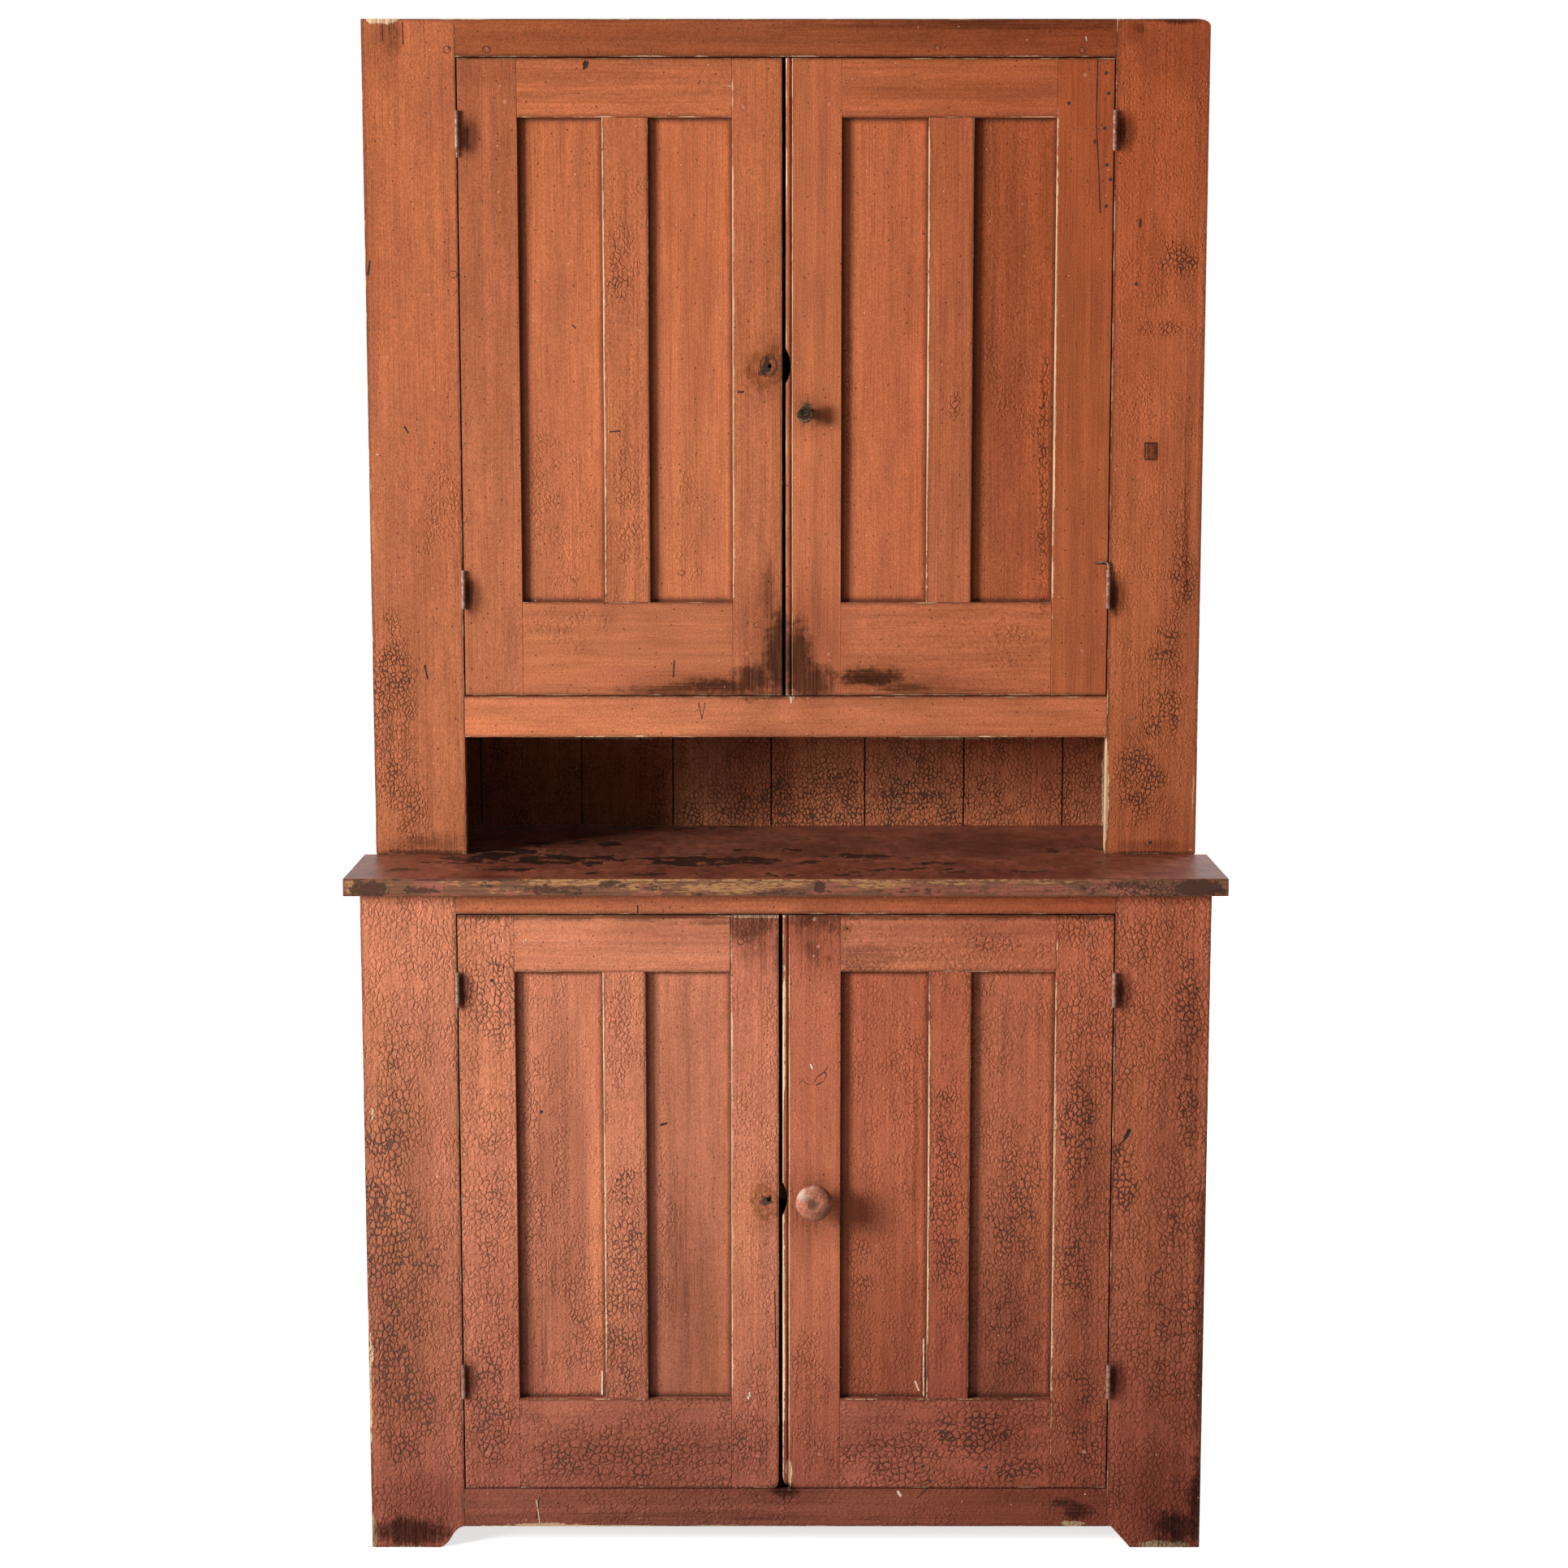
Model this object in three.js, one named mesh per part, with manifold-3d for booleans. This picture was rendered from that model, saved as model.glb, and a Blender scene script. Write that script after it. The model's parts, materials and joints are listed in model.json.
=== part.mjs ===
// Step back cupboard: a shallow upper case with a pair of panelled doors over an open niche,
// standing on a deeper lower case with an overhanging counter and a second pair of panelled doors.
// Millimetres, +Z up, front faces -Y, origin at the bottom centre of the whole cupboard.
import * as THREE from 'three';
import { mergeVertices } from 'three/addons/utils/BufferGeometryUtils.js';
import Module from 'manifold-3d';

const wasm = await Module();
wasm.setup();

// Clearances and the overrun that carries every cut past the wood
const fit = 0.3;
const overrun = 5;
const doorGap = 2;

// Overall sizes
const lowerWidth = 1168;
const upperExtraWidth = 4;
const lowerHeight = 936.5;
const upperHeight = 1165.2;
const caseDepth = 474;
const stepBack = 188.3;

// Board thicknesses
const frameThickness = 22;
const sideThickness = 20;
const shelfThickness = 19;
const backThickness = 18;

// Counter
const counterThickness = 24.7;
const counterSideOverhang = 19.2;
const counterFrontOverhang = 24;
const counterEdgeRadius = 4;

// Face frames
const lowerStileWidth = 131.5;
const lowerTopRail = 27.5;
const lowerBottomRail = 55;
const footHeight = 31;
const ogeeFootRun = 38.5;
const ogeeSwell = 17;
const slantFootRun = 27;
const slantFootShoulder = 6.5;
const upperStileWidth = 129.5;
const upperTopRail = 51;
const upperMidRail = 58;
const nicheHeight = 168.2;
const frameTenon = 40;
const frameTenonThickness = 8;
const frameTenonShoulder = 7;

// Side boards, housings for the shelves and the planked backs
const housingDepth = 8;
const rabbetWidth = 11;
const archChord = 170;
const archRise = 60;
const shelfSetBack = 32;
const backBoardShares = [0.1, 0.132, 0.12, 0.129, 0.123, 0.13, 0.13, 0.136];
const seamWidth = 2.6;
const lapWidth = 12;
const seamDepth = 10;
const backSeamDepth = 6;

// Shelf levels as shares of the height of the space they divide
const lowerShelfShare = 0.5;
const upperShelfShares = [0.34, 0.67];

// Door joinery shared by all four doors
const panelRecess = 10;
const tenonThickness = 7;
const grooveDepth = 8;
const panelPlay = 1;
const panelSwell = 4;
const panelBevel = 30;
const doorTenon = 45;
const doorTenonShoulder = 16;
const meetingGap = 5;

// Corners worn away: the top right one of the case, and the lower doors' where they meet
const topWearRun = 21;
const topWearDrop = 11.5;
const doorWearRise = 20;

// Bead worked on the meeting edge of each right-hand door, with its finger scallop
const beadWidth = 7;
const quirkWidth = 1.6;
const beadDepth = 3.5;
const scallopChord = 48;
const scallopDepth = 7;

// Butt hinges, with their barrels proud of the faces
const knuckleRadius = 3;
const pinRadius = 1.5;
const knuckleCount = 5;
const leafThickness = 1.6;
const leafWidth = 19;
const leafInset = 0.2;
const nailRise = 12;
const nailReach = 17;
const nailBendRadius = 7;
const pinDropShort = 1;
const pinDropLong = 10;

// The two rows of doors, measured from each door's own lower corner
const upperRow = {
  label: 'upper',
  topRail: 80,
  bottomRail: 132,
  hingeLength: 54,
  hingeFromTop: 70.5,
  hingeFromBottom: 123.5,
  meetingLine: -5,
  keyInset: 17.5,
  keyHeight: 463,
  keyRadius: 2.8,
  keyDepth: frameThickness + overrun,
  latchInset: 27.4,
  latchHeight: 398,
  latchShaftRadius: 4,
  left: { hingeStile: 82, lockStile: 69.5, muntin: 63.5, muntinShift: -0.25, wearRun: 0 },
  right: { hingeStile: 78, lockStile: 77.5, muntin: 63, muntinShift: 3, wearRun: 0 },
};
const lowerRow = {
  label: 'lower',
  topRail: 79,
  bottomRail: 130,
  hingeLength: 48,
  hingeFromTop: 79.5,
  hingeFromBottom: 132,
  meetingLine: -9.5,
  keyInset: 13.6,
  keyHeight: 418,
  keyRadius: 3.6,
  keyDepth: 4,
  latchInset: 43.5,
  latchHeight: 420,
  latchShaftRadius: 7,
  left: { hingeStile: 77.2, lockStile: 66, muntin: 59, muntinShift: -1.9, wearRun: 6.6 },
  right: { hingeStile: 78.5, lockStile: 80, muntin: 58, muntinShift: 2.75, wearRun: 17 },
};

// Turned knob of the lower latch: radii and stand-offs along its axis
const knobRadius = 25.5;
const knobProud = 38;
const knobRimShare = 0.7;
const knobNeckRadius = 12;
const knobFootRadius = 15;
const knobFootThickness = 4;
const knobNeckEndShare = 0.42;
const knobCrownShare = 0.93;
const knobWornRadius = 9;

// Turn bars behind the right-hand doors
const woodBarWidth = 22;
const woodBarThickness = 9;
const woodBarReach = 74;
const woodBarTail = 8;
const shaftTail = 2;
const ironBarWidth = 13;
const ironBarThickness = 4;
const ironBarReach = 56;
const ironBarTail = 3;

// Iron post of the upper latch: a spool whose flange has one lobe and one flat, with a sunk screw
const postProud = 23;
const postFlangeRadius = 11;
const postFlangeShares = [
  [-1.18, -0.02], [-1.12, -0.42], [-0.86, -0.85], [-0.5, -1.15], [-0.05, -1.3], [0.42, -1.2],
  [0.74, -0.9], [0.88, -0.45], [0.86, 0.1], [0.8, 0.55], [0.76, 0.95], [0.6, 1.2], [0.3, 1.34],
  [-0.05, 1.34], [-0.25, 1.2], [-0.36, 0.88],
];
const postFlangeThickness = 6;
const postNeckRadius = 7.5;
const postBaseRadius = 9;
const postBaseThickness = 2.5;
const postBoreRadius = 5.2;
const postBoreDepth = 3;
const screwRadius = 4.4;
const screwHeight = 1.8;
const slotWidth = 1.2;
const slotDepth = 1;
const slotTurn = 22.5;

// Where the main parts lie, worked out from the sizes above
const upperWidth = lowerWidth + upperExtraWidth;
const counterBase = lowerHeight + fit;
const counterTop = counterBase + counterThickness;
const upperBase = counterTop + fit;
const frontMost = -Math.max(knobProud + fit, counterFrontOverhang);
const boardFront = caseDepth - backThickness;
const leafOffset = knuckleRadius + fit;
const lowerFloorTop = footHeight + lowerBottomRail;
const lowerDoorBottom = lowerFloorTop + doorGap;
const lowerDoorHeight = lowerHeight - lowerTopRail - doorGap - lowerDoorBottom;
const upperFloorTop = nicheHeight + upperMidRail;
const upperDoorBottom = upperFloorTop + doorGap;
const upperDoorHeight = upperHeight - upperTopRail - doorGap - upperDoorBottom;

const barrelSides = 12;
const turnedSides = 32;

// Finishes
function finish(color, roughness, metalness) {
  return new THREE.MeshStandardMaterial({ color, roughness, metalness });
}
const upperPaint = () => finish(0xb5613c, 0.7, 0);
const lowerPaint = () => finish(0x97472f, 0.68, 0);
const counterPaint = () => finish(0x5e2b22, 0.5, 0);
const insideWood = () => finish(0x9a6b48, 0.85, 0);
const knobWood = () => finish(0x9a5540, 0.5, 0);
const hingeIron = () => finish(0x6e4538, 0.55, 0.4);
const darkIron = () => finish(0x2c2522, 0.45, 0.8);

// Solids
function toSolid(geometry) {
  const bare = geometry.clone();
  bare.deleteAttribute('normal');
  bare.deleteAttribute('uv');
  const merged = mergeVertices(bare);
  const vertProperties = new Float32Array(merged.attributes.position.array);
  const triVerts = new Uint32Array(merged.index.array);
  return new wasm.Manifold(new wasm.Mesh({ numProp: 3, vertProperties, triVerts }));
}

function toGeometry(solid) {
  const mesh = solid.getMesh();
  const geometry = new THREE.BufferGeometry();
  geometry.setAttribute('position', new THREE.BufferAttribute(mesh.vertProperties, 3));
  geometry.setIndex(new THREE.BufferAttribute(mesh.triVerts, 1));
  const faceted = geometry.toNonIndexed();
  faceted.computeVertexNormals();
  return faceted;
}

function box(xs, ys, zs) {
  const size = [xs, ys, zs].map(([a, b]) => Math.abs(b - a));
  const middle = [xs, ys, zs].map(([a, b]) => (a + b) / 2);
  return toSolid(new THREE.BoxGeometry(...size).translate(...middle));
}

function rod(radius, start, end, axis, x, y, sides = barrelSides) {
  const geometry = new THREE.CylinderGeometry(radius, radius, Math.abs(end - start), sides);
  geometry.translate(0, (start + end) / 2, 0);
  if (axis === 'z') {
    geometry.rotateX(Math.PI / 2).translate(x, y, 0);
  } else if (axis === 'y') {
    geometry.translate(x, 0, y);
  } else {
    geometry.rotateZ(-Math.PI / 2).translate(0, x, y);
  }
  return toSolid(geometry);
}

// A plan outline raised along Z
function raised(outline, height) {
  const shape = new THREE.Shape(outline.map(([x, y]) => new THREE.Vector2(x, y)));
  return toSolid(new THREE.ExtrudeGeometry(shape, { depth: height, bevelEnabled: false }));
}

// A front outline, in x and z, taken back along Y
function carriedBack(shape, y, depth, curveSegments = barrelSides) {
  const geometry = new THREE.ExtrudeGeometry(shape, { depth, bevelEnabled: false, curveSegments });
  geometry.rotateX(Math.PI / 2).translate(0, y + depth, 0);
  return toSolid(geometry);
}

// A profile of radius and height, turned about an axis along Y with its height towards the front
function turned(profile) {
  const points = profile.map(([radius, height]) => new THREE.Vector2(radius, height));
  return toSolid(new THREE.LatheGeometry(points, turnedSides).rotateX(Math.PI));
}

// A raised field: a rectangle on the plane y that narrows to a smaller one further back
function field(xs, zs, y, rise, inset) {
  const [x0, x1] = xs[0] < xs[1] ? xs : [xs[1], xs[0]];
  const [z0, z1] = zs;
  const corners = [
    [x0, y, z0], [x1, y, z0], [x1, y, z1], [x0, y, z1],
    [x0 + inset, y + rise, z0 + inset], [x1 - inset, y + rise, z0 + inset],
    [x1 - inset, y + rise, z1 - inset], [x0 + inset, y + rise, z1 - inset],
  ];
  const faces = [
    0, 1, 2, 0, 2, 3, 4, 6, 5, 4, 7, 6, 0, 4, 5, 0, 5, 1,
    1, 5, 6, 1, 6, 2, 2, 6, 7, 2, 7, 3, 3, 7, 4, 3, 4, 0,
  ];
  const geometry = new THREE.BufferGeometry();
  geometry.setAttribute('position', new THREE.Float32BufferAttribute(corners.flat(), 3));
  geometry.setIndex(faces);
  return toSolid(geometry);
}

function addPiece(group, name, solid, material, x = 0, y = 0, z = 0) {
  const mesh = new THREE.Mesh(toGeometry(solid), material);
  mesh.name = name;
  mesh.position.set(x, y, z);
  group.add(mesh);
}

// Butt hinges: knuckles alternate between the case leaf and the door leaf
function knuckleSpan(index, hingeLength) {
  const pitch = hingeLength / knuckleCount;
  return [index * pitch + fit / 2, (index + 1) * pitch - fit / 2];
}

function hingeLeaf(hingeLength, first, toward, bored) {
  const plate = [toward * leafInset, toward * (leafInset + leafThickness)];
  let leaf = box(plate, [leafOffset + fit, leafOffset + leafWidth], [0, hingeLength]);
  for (let i = first; i < knuckleCount; i += 2) {
    const span = knuckleSpan(i, hingeLength);
    leaf = leaf.add(box(plate, [0, leafOffset + 2 * fit], span));
    leaf = leaf.add(rod(knuckleRadius, ...span, 'z', 0, 0));
  }
  if (bored) {
    leaf = leaf.subtract(rod(pinRadius + fit, -overrun, hingeLength + overrun, 'z', 0, 0));
  }
  return leaf;
}

function bentNail(hingeLength, toward) {
  const straight = new THREE.LineCurve3(
    new THREE.Vector3(0, 0, hingeLength - pinRadius),
    new THREE.Vector3(0, 0, hingeLength + nailRise - nailBendRadius),
  );
  const bend = new THREE.QuadraticBezierCurve3(
    straight.v2,
    new THREE.Vector3(0, 0, hingeLength + nailRise),
    new THREE.Vector3(toward * nailBendRadius, 0, hingeLength + nailRise),
  );
  const tip = new THREE.LineCurve3(
    bend.v2,
    new THREE.Vector3(toward * nailReach, 0, hingeLength + nailRise - pinRadius),
  );
  const path = new THREE.CurvePath();
  path.add(straight);
  path.add(bend);
  path.add(tip);
  const section = new THREE.Shape().absarc(0, 0, pinRadius, 0, 2 * Math.PI);
  const options = { steps: 14, curveSegments: 4, extrudePath: path, bevelEnabled: false };
  const head = toSolid(new THREE.ExtrudeGeometry(section, options));
  return rod(pinRadius, 0, hingeLength, 'z', 0, 0).add(head);
}

function caseHinge(row, side, pinOnDoor, pinDrop) {
  const leaf = hingeLeaf(row.hingeLength, 0, -side, pinOnDoor);
  return pinOnDoor ? leaf : leaf.add(rod(pinRadius, -pinDrop, row.hingeLength, 'z', 0, 0));
}

// Door pieces: u runs from the hinge edge to the meeting edge, and side turns it left or right
function doorLayout(row, door, width, height) {
  const lockEdge = width - door.lockStile;
  const innerPanel = (lockEdge - door.hingeStile - door.muntin) / 2 + door.muntinShift;
  return {
    width,
    height,
    hingeEdge: door.hingeStile,
    lockEdge,
    muntinEnd: lockEdge - innerPanel,
    muntinStart: lockEdge - innerPanel - door.muntin,
    panelBottom: row.bottomRail,
    panelTop: height - row.topRail,
  };
}

const plough = [panelRecess - fit, panelRecess + tenonThickness + fit];
const tongue = [panelRecess, panelRecess + tenonThickness];

function tenonSpans(plan) {
  return [
    [doorTenonShoulder, plan.panelBottom - grooveDepth],
    [plan.panelTop + grooveDepth, plan.height - doorTenonShoulder],
  ];
}

// Groove for the panels and mortises for the rails, cut into a stile's inner edge
function stileJoints(plan, edge, inward, side) {
  const groove = [side * edge, side * (edge + inward * grooveDepth)];
  const mouth = [side * (edge - inward * overrun), groove[1]];
  let cut = box(mouth, plough, [plan.panelBottom - grooveDepth, plan.panelTop + grooveDepth]);
  for (const [low, high] of tenonSpans(plan)) {
    const depth = [side * (edge - inward * overrun), side * (edge + inward * (doorTenon + fit))];
    cut = cut.add(box(depth, plough, [low - fit, high + fit]));
  }
  return cut;
}

function hingeStile(row, plan, side, nailed) {
  let stile = box([0, side * plan.hingeEdge], [0, frameThickness], [0, plan.height]);
  stile = stile.subtract(stileJoints(plan, plan.hingeEdge, -1, side));
  const levels = hingeLevels(row, plan.height);
  levels.forEach((level, index) => {
    const keepsPin = nailed && index === 0;
    let leaf = hingeLeaf(row.hingeLength, 1, side, !keepsPin);
    if (keepsPin) {
      leaf = leaf.add(bentNail(row.hingeLength, side));
    }
    stile = stile.add(leaf.translate([-side * doorGap / 2, -leafOffset, level]));
  });
  return stile;
}

function hingeLevels(row, doorHeight) {
  return [row.hingeFromBottom, doorHeight - row.hingeFromTop - row.hingeLength];
}

// The wood that handling has worn off a door's lower corner at the meeting edge
function cornerWear(plan, run, side) {
  const shape = new THREE.Shape();
  shape.moveTo(side * (plan.width + overrun), -overrun);
  shape.lineTo(side * (plan.width - run), -overrun);
  shape.lineTo(side * (plan.width - run), 0);
  shape.quadraticCurveTo(side * plan.width, 0, side * plan.width, doorWearRise);
  shape.lineTo(side * (plan.width + overrun), doorWearRise);
  return carriedBack(shape, -overrun, frameThickness + 2 * overrun);
}

function plainLockStile(row, plan, side) {
  const across = [side * plan.lockEdge, side * plan.width];
  const stile = box(across, [0, frameThickness], [0, plan.height]);
  const keyPlace = side * (plan.width - row.keyInset);
  const keyhole = rod(row.keyRadius, -overrun, row.keyDepth, 'y', keyPlace, row.keyHeight);
  return stile.subtract(stileJoints(plan, plan.lockEdge, 1, side)).subtract(keyhole);
}

// Plan outline of the beaded stile: an arris bead and its quirk at the meeting edge
function beadedLockStile(row, plan, side) {
  const beadRadius = beadWidth / 2;
  const outline = [[plan.lockEdge, 0], [plan.width - beadWidth - quirkWidth, 0]];
  outline.push([plan.width - beadWidth - quirkWidth, beadDepth]);
  const arcSteps = 8;
  for (let i = 0; i <= arcSteps; i += 1) {
    const angle = Math.PI * (1 - i / arcSteps);
    const u = plan.width - beadRadius + beadRadius * Math.cos(angle);
    outline.push([u, beadDepth - beadRadius * Math.sin(angle)]);
  }
  outline.push([plan.width, frameThickness], [plan.lockEdge, frameThickness]);
  let stile = raised(outline.map(([u, y]) => [side * u, y]), plan.height);
  stile = stile.subtract(stileJoints(plan, plan.lockEdge, 1, side));
  const scallopRadius = scallopChord ** 2 / (8 * scallopDepth) + scallopDepth / 2;
  const scallopCentre = side * (plan.width - scallopDepth + scallopRadius);
  const through = [-overrun, frameThickness + overrun, 'y'];
  const scallopSides = 2 * turnedSides;
  const scallop = rod(scallopRadius, ...through, scallopCentre, row.keyHeight, scallopSides);
  const shaftPlace = side * (plan.width - row.latchInset);
  const shaftHole = rod(row.latchShaftRadius + fit, ...through, shaftPlace, row.latchHeight);
  return stile.subtract(scallop).subtract(shaftHole);
}

function doorRail(plan, zs, tenonSpan, grooveAt, side) {
  const { hingeEdge, lockEdge } = plan;
  const shown = [side * (hingeEdge + fit), side * (lockEdge - fit)];
  const tenonEnds = [side * (hingeEdge - doorTenon), side * (lockEdge + doorTenon)];
  const grooveReach = doorTenon + overrun;
  const grooveEnds = [side * (hingeEdge - grooveReach), side * (lockEdge + grooveReach)];
  const rail = box(shown, [0, frameThickness], zs).add(box(tenonEnds, tongue, tenonSpan));
  return rail.subtract(box(grooveEnds, plough, grooveAt));
}

function doorMuntin(plan, side) {
  const { muntinStart, muntinEnd, panelBottom, panelTop } = plan;
  const across = [side * muntinStart, side * muntinEnd];
  let muntin = box(across, [0, frameThickness], [panelBottom + fit, panelTop - fit]);
  const stub = [side * (muntinStart + grooveDepth), side * (muntinEnd - grooveDepth)];
  const reach = [panelBottom - grooveDepth + fit, panelTop + grooveDepth - fit];
  muntin = muntin.add(box(stub, tongue, reach));
  const tall = [panelBottom - overrun - grooveDepth, panelTop + overrun + grooveDepth];
  const nearGroove = [side * (muntinStart - overrun), side * (muntinStart + grooveDepth)];
  const farGroove = [side * (muntinEnd - grooveDepth), side * (muntinEnd + overrun)];
  return muntin.subtract(box(nearGroove, plough, tall)).subtract(box(farGroove, plough, tall));
}

function doorPanel(plan, us, side) {
  const spread = grooveDepth - panelPlay;
  const xs = [side * (us[0] - spread), side * (us[1] + spread)];
  const panel = box(xs, tongue, [plan.panelBottom - spread, plan.panelTop + spread]);
  const open = [side * (us[0] + fit), side * (us[1] - fit)];
  const zs = [plan.panelBottom + fit, plan.panelTop - fit];
  return panel.add(field(open, zs, tongue[1] - fit, panelSwell + fit, panelBevel));
}

function addDoor(parent, row, door, handed, width, height, side, x, y, z) {
  const group = new THREE.Group();
  group.position.set(x, y, z);
  parent.add(group);
  const plan = doorLayout(row, door, width, height);
  const name = `${row.label}_${handed}_door`;
  const paint = row === upperRow ? upperPaint : lowerPaint;
  const [lowTenon, highTenon] = tenonSpans(plan);
  const lowGroove = [plan.panelBottom - grooveDepth, plan.panelBottom + overrun];
  const highGroove = [plan.panelTop - overrun, plan.panelTop + grooveDepth];
  const nailed = row === upperRow && side < 0;
  const shapeLockStile = side < 0 ? beadedLockStile : plainLockStile;
  let lockStile = shapeLockStile(row, plan, side);
  if (door.wearRun > 0) {
    lockStile = lockStile.subtract(cornerWear(plan, door.wearRun, side));
  }
  const topSpan = [plan.panelTop, height];
  const bottomSpan = [0, plan.panelBottom];
  const outerSpan = [plan.hingeEdge, plan.muntinStart];
  const innerSpan = [plan.muntinEnd, plan.lockEdge];
  const pieces = {
    hinge_stile: hingeStile(row, plan, side, nailed),
    lock_stile: lockStile,
    top_rail: doorRail(plan, topSpan, highTenon, highGroove, side),
    bottom_rail: doorRail(plan, bottomSpan, lowTenon, lowGroove, side),
    muntin: doorMuntin(plan, side),
    outer_panel: doorPanel(plan, outerSpan, side),
    inner_panel: doorPanel(plan, innerSpan, side),
  };
  for (const [part, solid] of Object.entries(pieces)) {
    addPiece(group, `${name}_${part}`, solid, paint());
  }
}

// A row of two doors with their four hinges and the latch of the right-hand one
function addRow(parent, row, opening, height, front, z) {
  const hingeLine = opening / 2 - doorGap / 2;
  const rightEdge = row.meetingLine + meetingGap;
  for (const side of [1, -1]) {
    const handed = side > 0 ? 'left' : 'right';
    const x = -side * (opening / 2 - doorGap);
    const width = opening / 2 - doorGap + (side > 0 ? row.meetingLine : -rightEdge);
    addDoor(parent, row, row[handed], handed, width, height, side, x, front, z);
    hingeLevels(row, height).forEach((level, index) => {
      const place = index === 0 ? 'low' : 'high';
      const nailed = row === upperRow && side < 0 && index === 0;
      const drop = row === upperRow && side > 0 && index === 1 ? pinDropLong : pinDropShort;
      const solid = caseHinge(row, side, nailed, drop);
      const name = `${row.label}_${handed}_${place}_hinge`;
      addPiece(parent, name, solid, hingeIron(), -side * hingeLine, front - leafOffset, z + level);
    });
  }
  return rightEdge + row.latchInset;
}

// Lower latch: a turned knob whose shaft passes through the door to a wooden turn bar
function turnedKnob() {
  const rim = knobProud * knobRimShare;
  const neckEnd = knobProud * knobNeckEndShare;
  const crown = knobProud * knobCrownShare;
  const shaftRadius = lowerRow.latchShaftRadius;
  const shaftEnd = frameThickness + 2 * fit + woodBarThickness + shaftTail;
  const profile = [
    [0, -shaftEnd], [shaftRadius, -shaftEnd], [shaftRadius, 0],
    [knobFootRadius, 0], [knobFootRadius, knobFootThickness],
  ];
  const neck = new THREE.QuadraticBezierCurve(
    new THREE.Vector2(knobNeckRadius, knobFootThickness),
    new THREE.Vector2(knobNeckRadius, neckEnd),
    new THREE.Vector2(knobRadius, rim),
  );
  const dome = new THREE.QuadraticBezierCurve(
    new THREE.Vector2(knobRadius, rim),
    new THREE.Vector2(knobRadius, crown),
    new THREE.Vector2(knobWornRadius, knobProud),
  );
  const neckSteps = 6;
  neck.getPoints(neckSteps).forEach((point) => profile.push([point.x, point.y]));
  dome.getPoints(neckSteps).slice(1).forEach((point) => profile.push([point.x, point.y]));
  profile.push([0, knobProud]);
  return turned(profile);
}

function barOutline(width, reach, tail) {
  const half = width / 2;
  const shape = new THREE.Shape();
  shape.moveTo(half, -tail);
  shape.lineTo(half, reach - half);
  shape.absarc(0, reach - half, half, 0, Math.PI, false);
  shape.lineTo(-half, -tail);
  shape.absarc(0, -tail, half, Math.PI, 2 * Math.PI, false);
  return shape;
}

function woodTurnBar() {
  const bar = carriedBack(barOutline(woodBarWidth, woodBarReach, woodBarTail), 0, woodBarThickness);
  const boreEnd = woodBarThickness + overrun;
  const boreRadius = lowerRow.latchShaftRadius + fit;
  return bar.subtract(rod(boreRadius, -overrun, boreEnd, 'y', 0, 0, turnedSides));
}

// Upper latch: an iron spool, its shaft and its turn bar in one casting
function ironLatch() {
  const shaftEnd = frameThickness + 2 * fit + ironBarThickness;
  const flangeBack = postFlangeThickness - postProud;
  const boreFloor = postBoreDepth - postProud;
  const screwTop = boreFloor - screwHeight;
  const corners = postFlangeShares.map(([x, z]) => (
    new THREE.Vector2(x, z).multiplyScalar(postFlangeRadius)
  ));
  let post = carriedBack(new THREE.Shape(corners), -postProud, postFlangeThickness);
  post = post.subtract(rod(postBoreRadius, -postProud - overrun, boreFloor, 'y', 0, 0));
  post = post.add(rod(screwRadius, screwTop, boreFloor + fit, 'y', 0, 0));
  const across = [-screwRadius, screwRadius];
  const slotAcross = [-slotWidth / 2, slotWidth / 2];
  const slot = box(across, [screwTop - overrun, screwTop + slotDepth], slotAcross);
  post = post.subtract(slot.rotate([0, -slotTurn, 0]));
  post = post.add(rod(postNeckRadius, flangeBack - fit, 0, 'y', 0, 0));
  post = post.add(rod(postBaseRadius, -postBaseThickness, 0, 'y', 0, 0, turnedSides));
  post = post.add(rod(upperRow.latchShaftRadius, -fit, shaftEnd, 'y', 0, 0));
  const barShape = barOutline(ironBarWidth, ironBarReach, ironBarTail);
  return post.add(carriedBack(barShape, shaftEnd - ironBarThickness, ironBarThickness));
}

const tenonY = [
  (frameThickness - frameTenonThickness) / 2,
  (frameThickness + frameTenonThickness) / 2,
];

// Face frame stiles, with mortises for the rails and shallow seats for the hinge leaves
function caseStileCuts(width, side, railSpans, hingeRow, doorHeight, doorBottom) {
  const inner = side * width;
  const mortiseY = [tenonY[0] - fit, tenonY[1] + fit];
  let cut = null;
  for (const [low, high] of railSpans) {
    const span = [low + frameTenonShoulder - fit, high - frameTenonShoulder + fit];
    const mortise = box([side * (width - frameTenon - fit), inner + side * overrun], mortiseY, span);
    cut = cut === null ? mortise : cut.add(mortise);
  }
  const seatDepth = leafInset + leafThickness - doorGap / 2 + fit;
  for (const level of hingeLevels(hingeRow, doorHeight)) {
    const seatZ = [doorBottom + level - fit, doorBottom + level + hingeRow.hingeLength + fit];
    const seatX = [inner - side * seatDepth, inner + side * overrun];
    cut = cut.add(box(seatX, [-overrun, leafWidth + fit], seatZ));
  }
  return cut;
}

function caseRail(span, zs) {
  const half = span / 2 - fit;
  const body = box([-half, half], [0, frameThickness], zs);
  const reach = span / 2 + frameTenon;
  const tenonZ = [zs[0] + frameTenonShoulder, zs[1] - frameTenonShoulder];
  return body.add(box([-reach, reach], tenonY, tenonZ));
}

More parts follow.
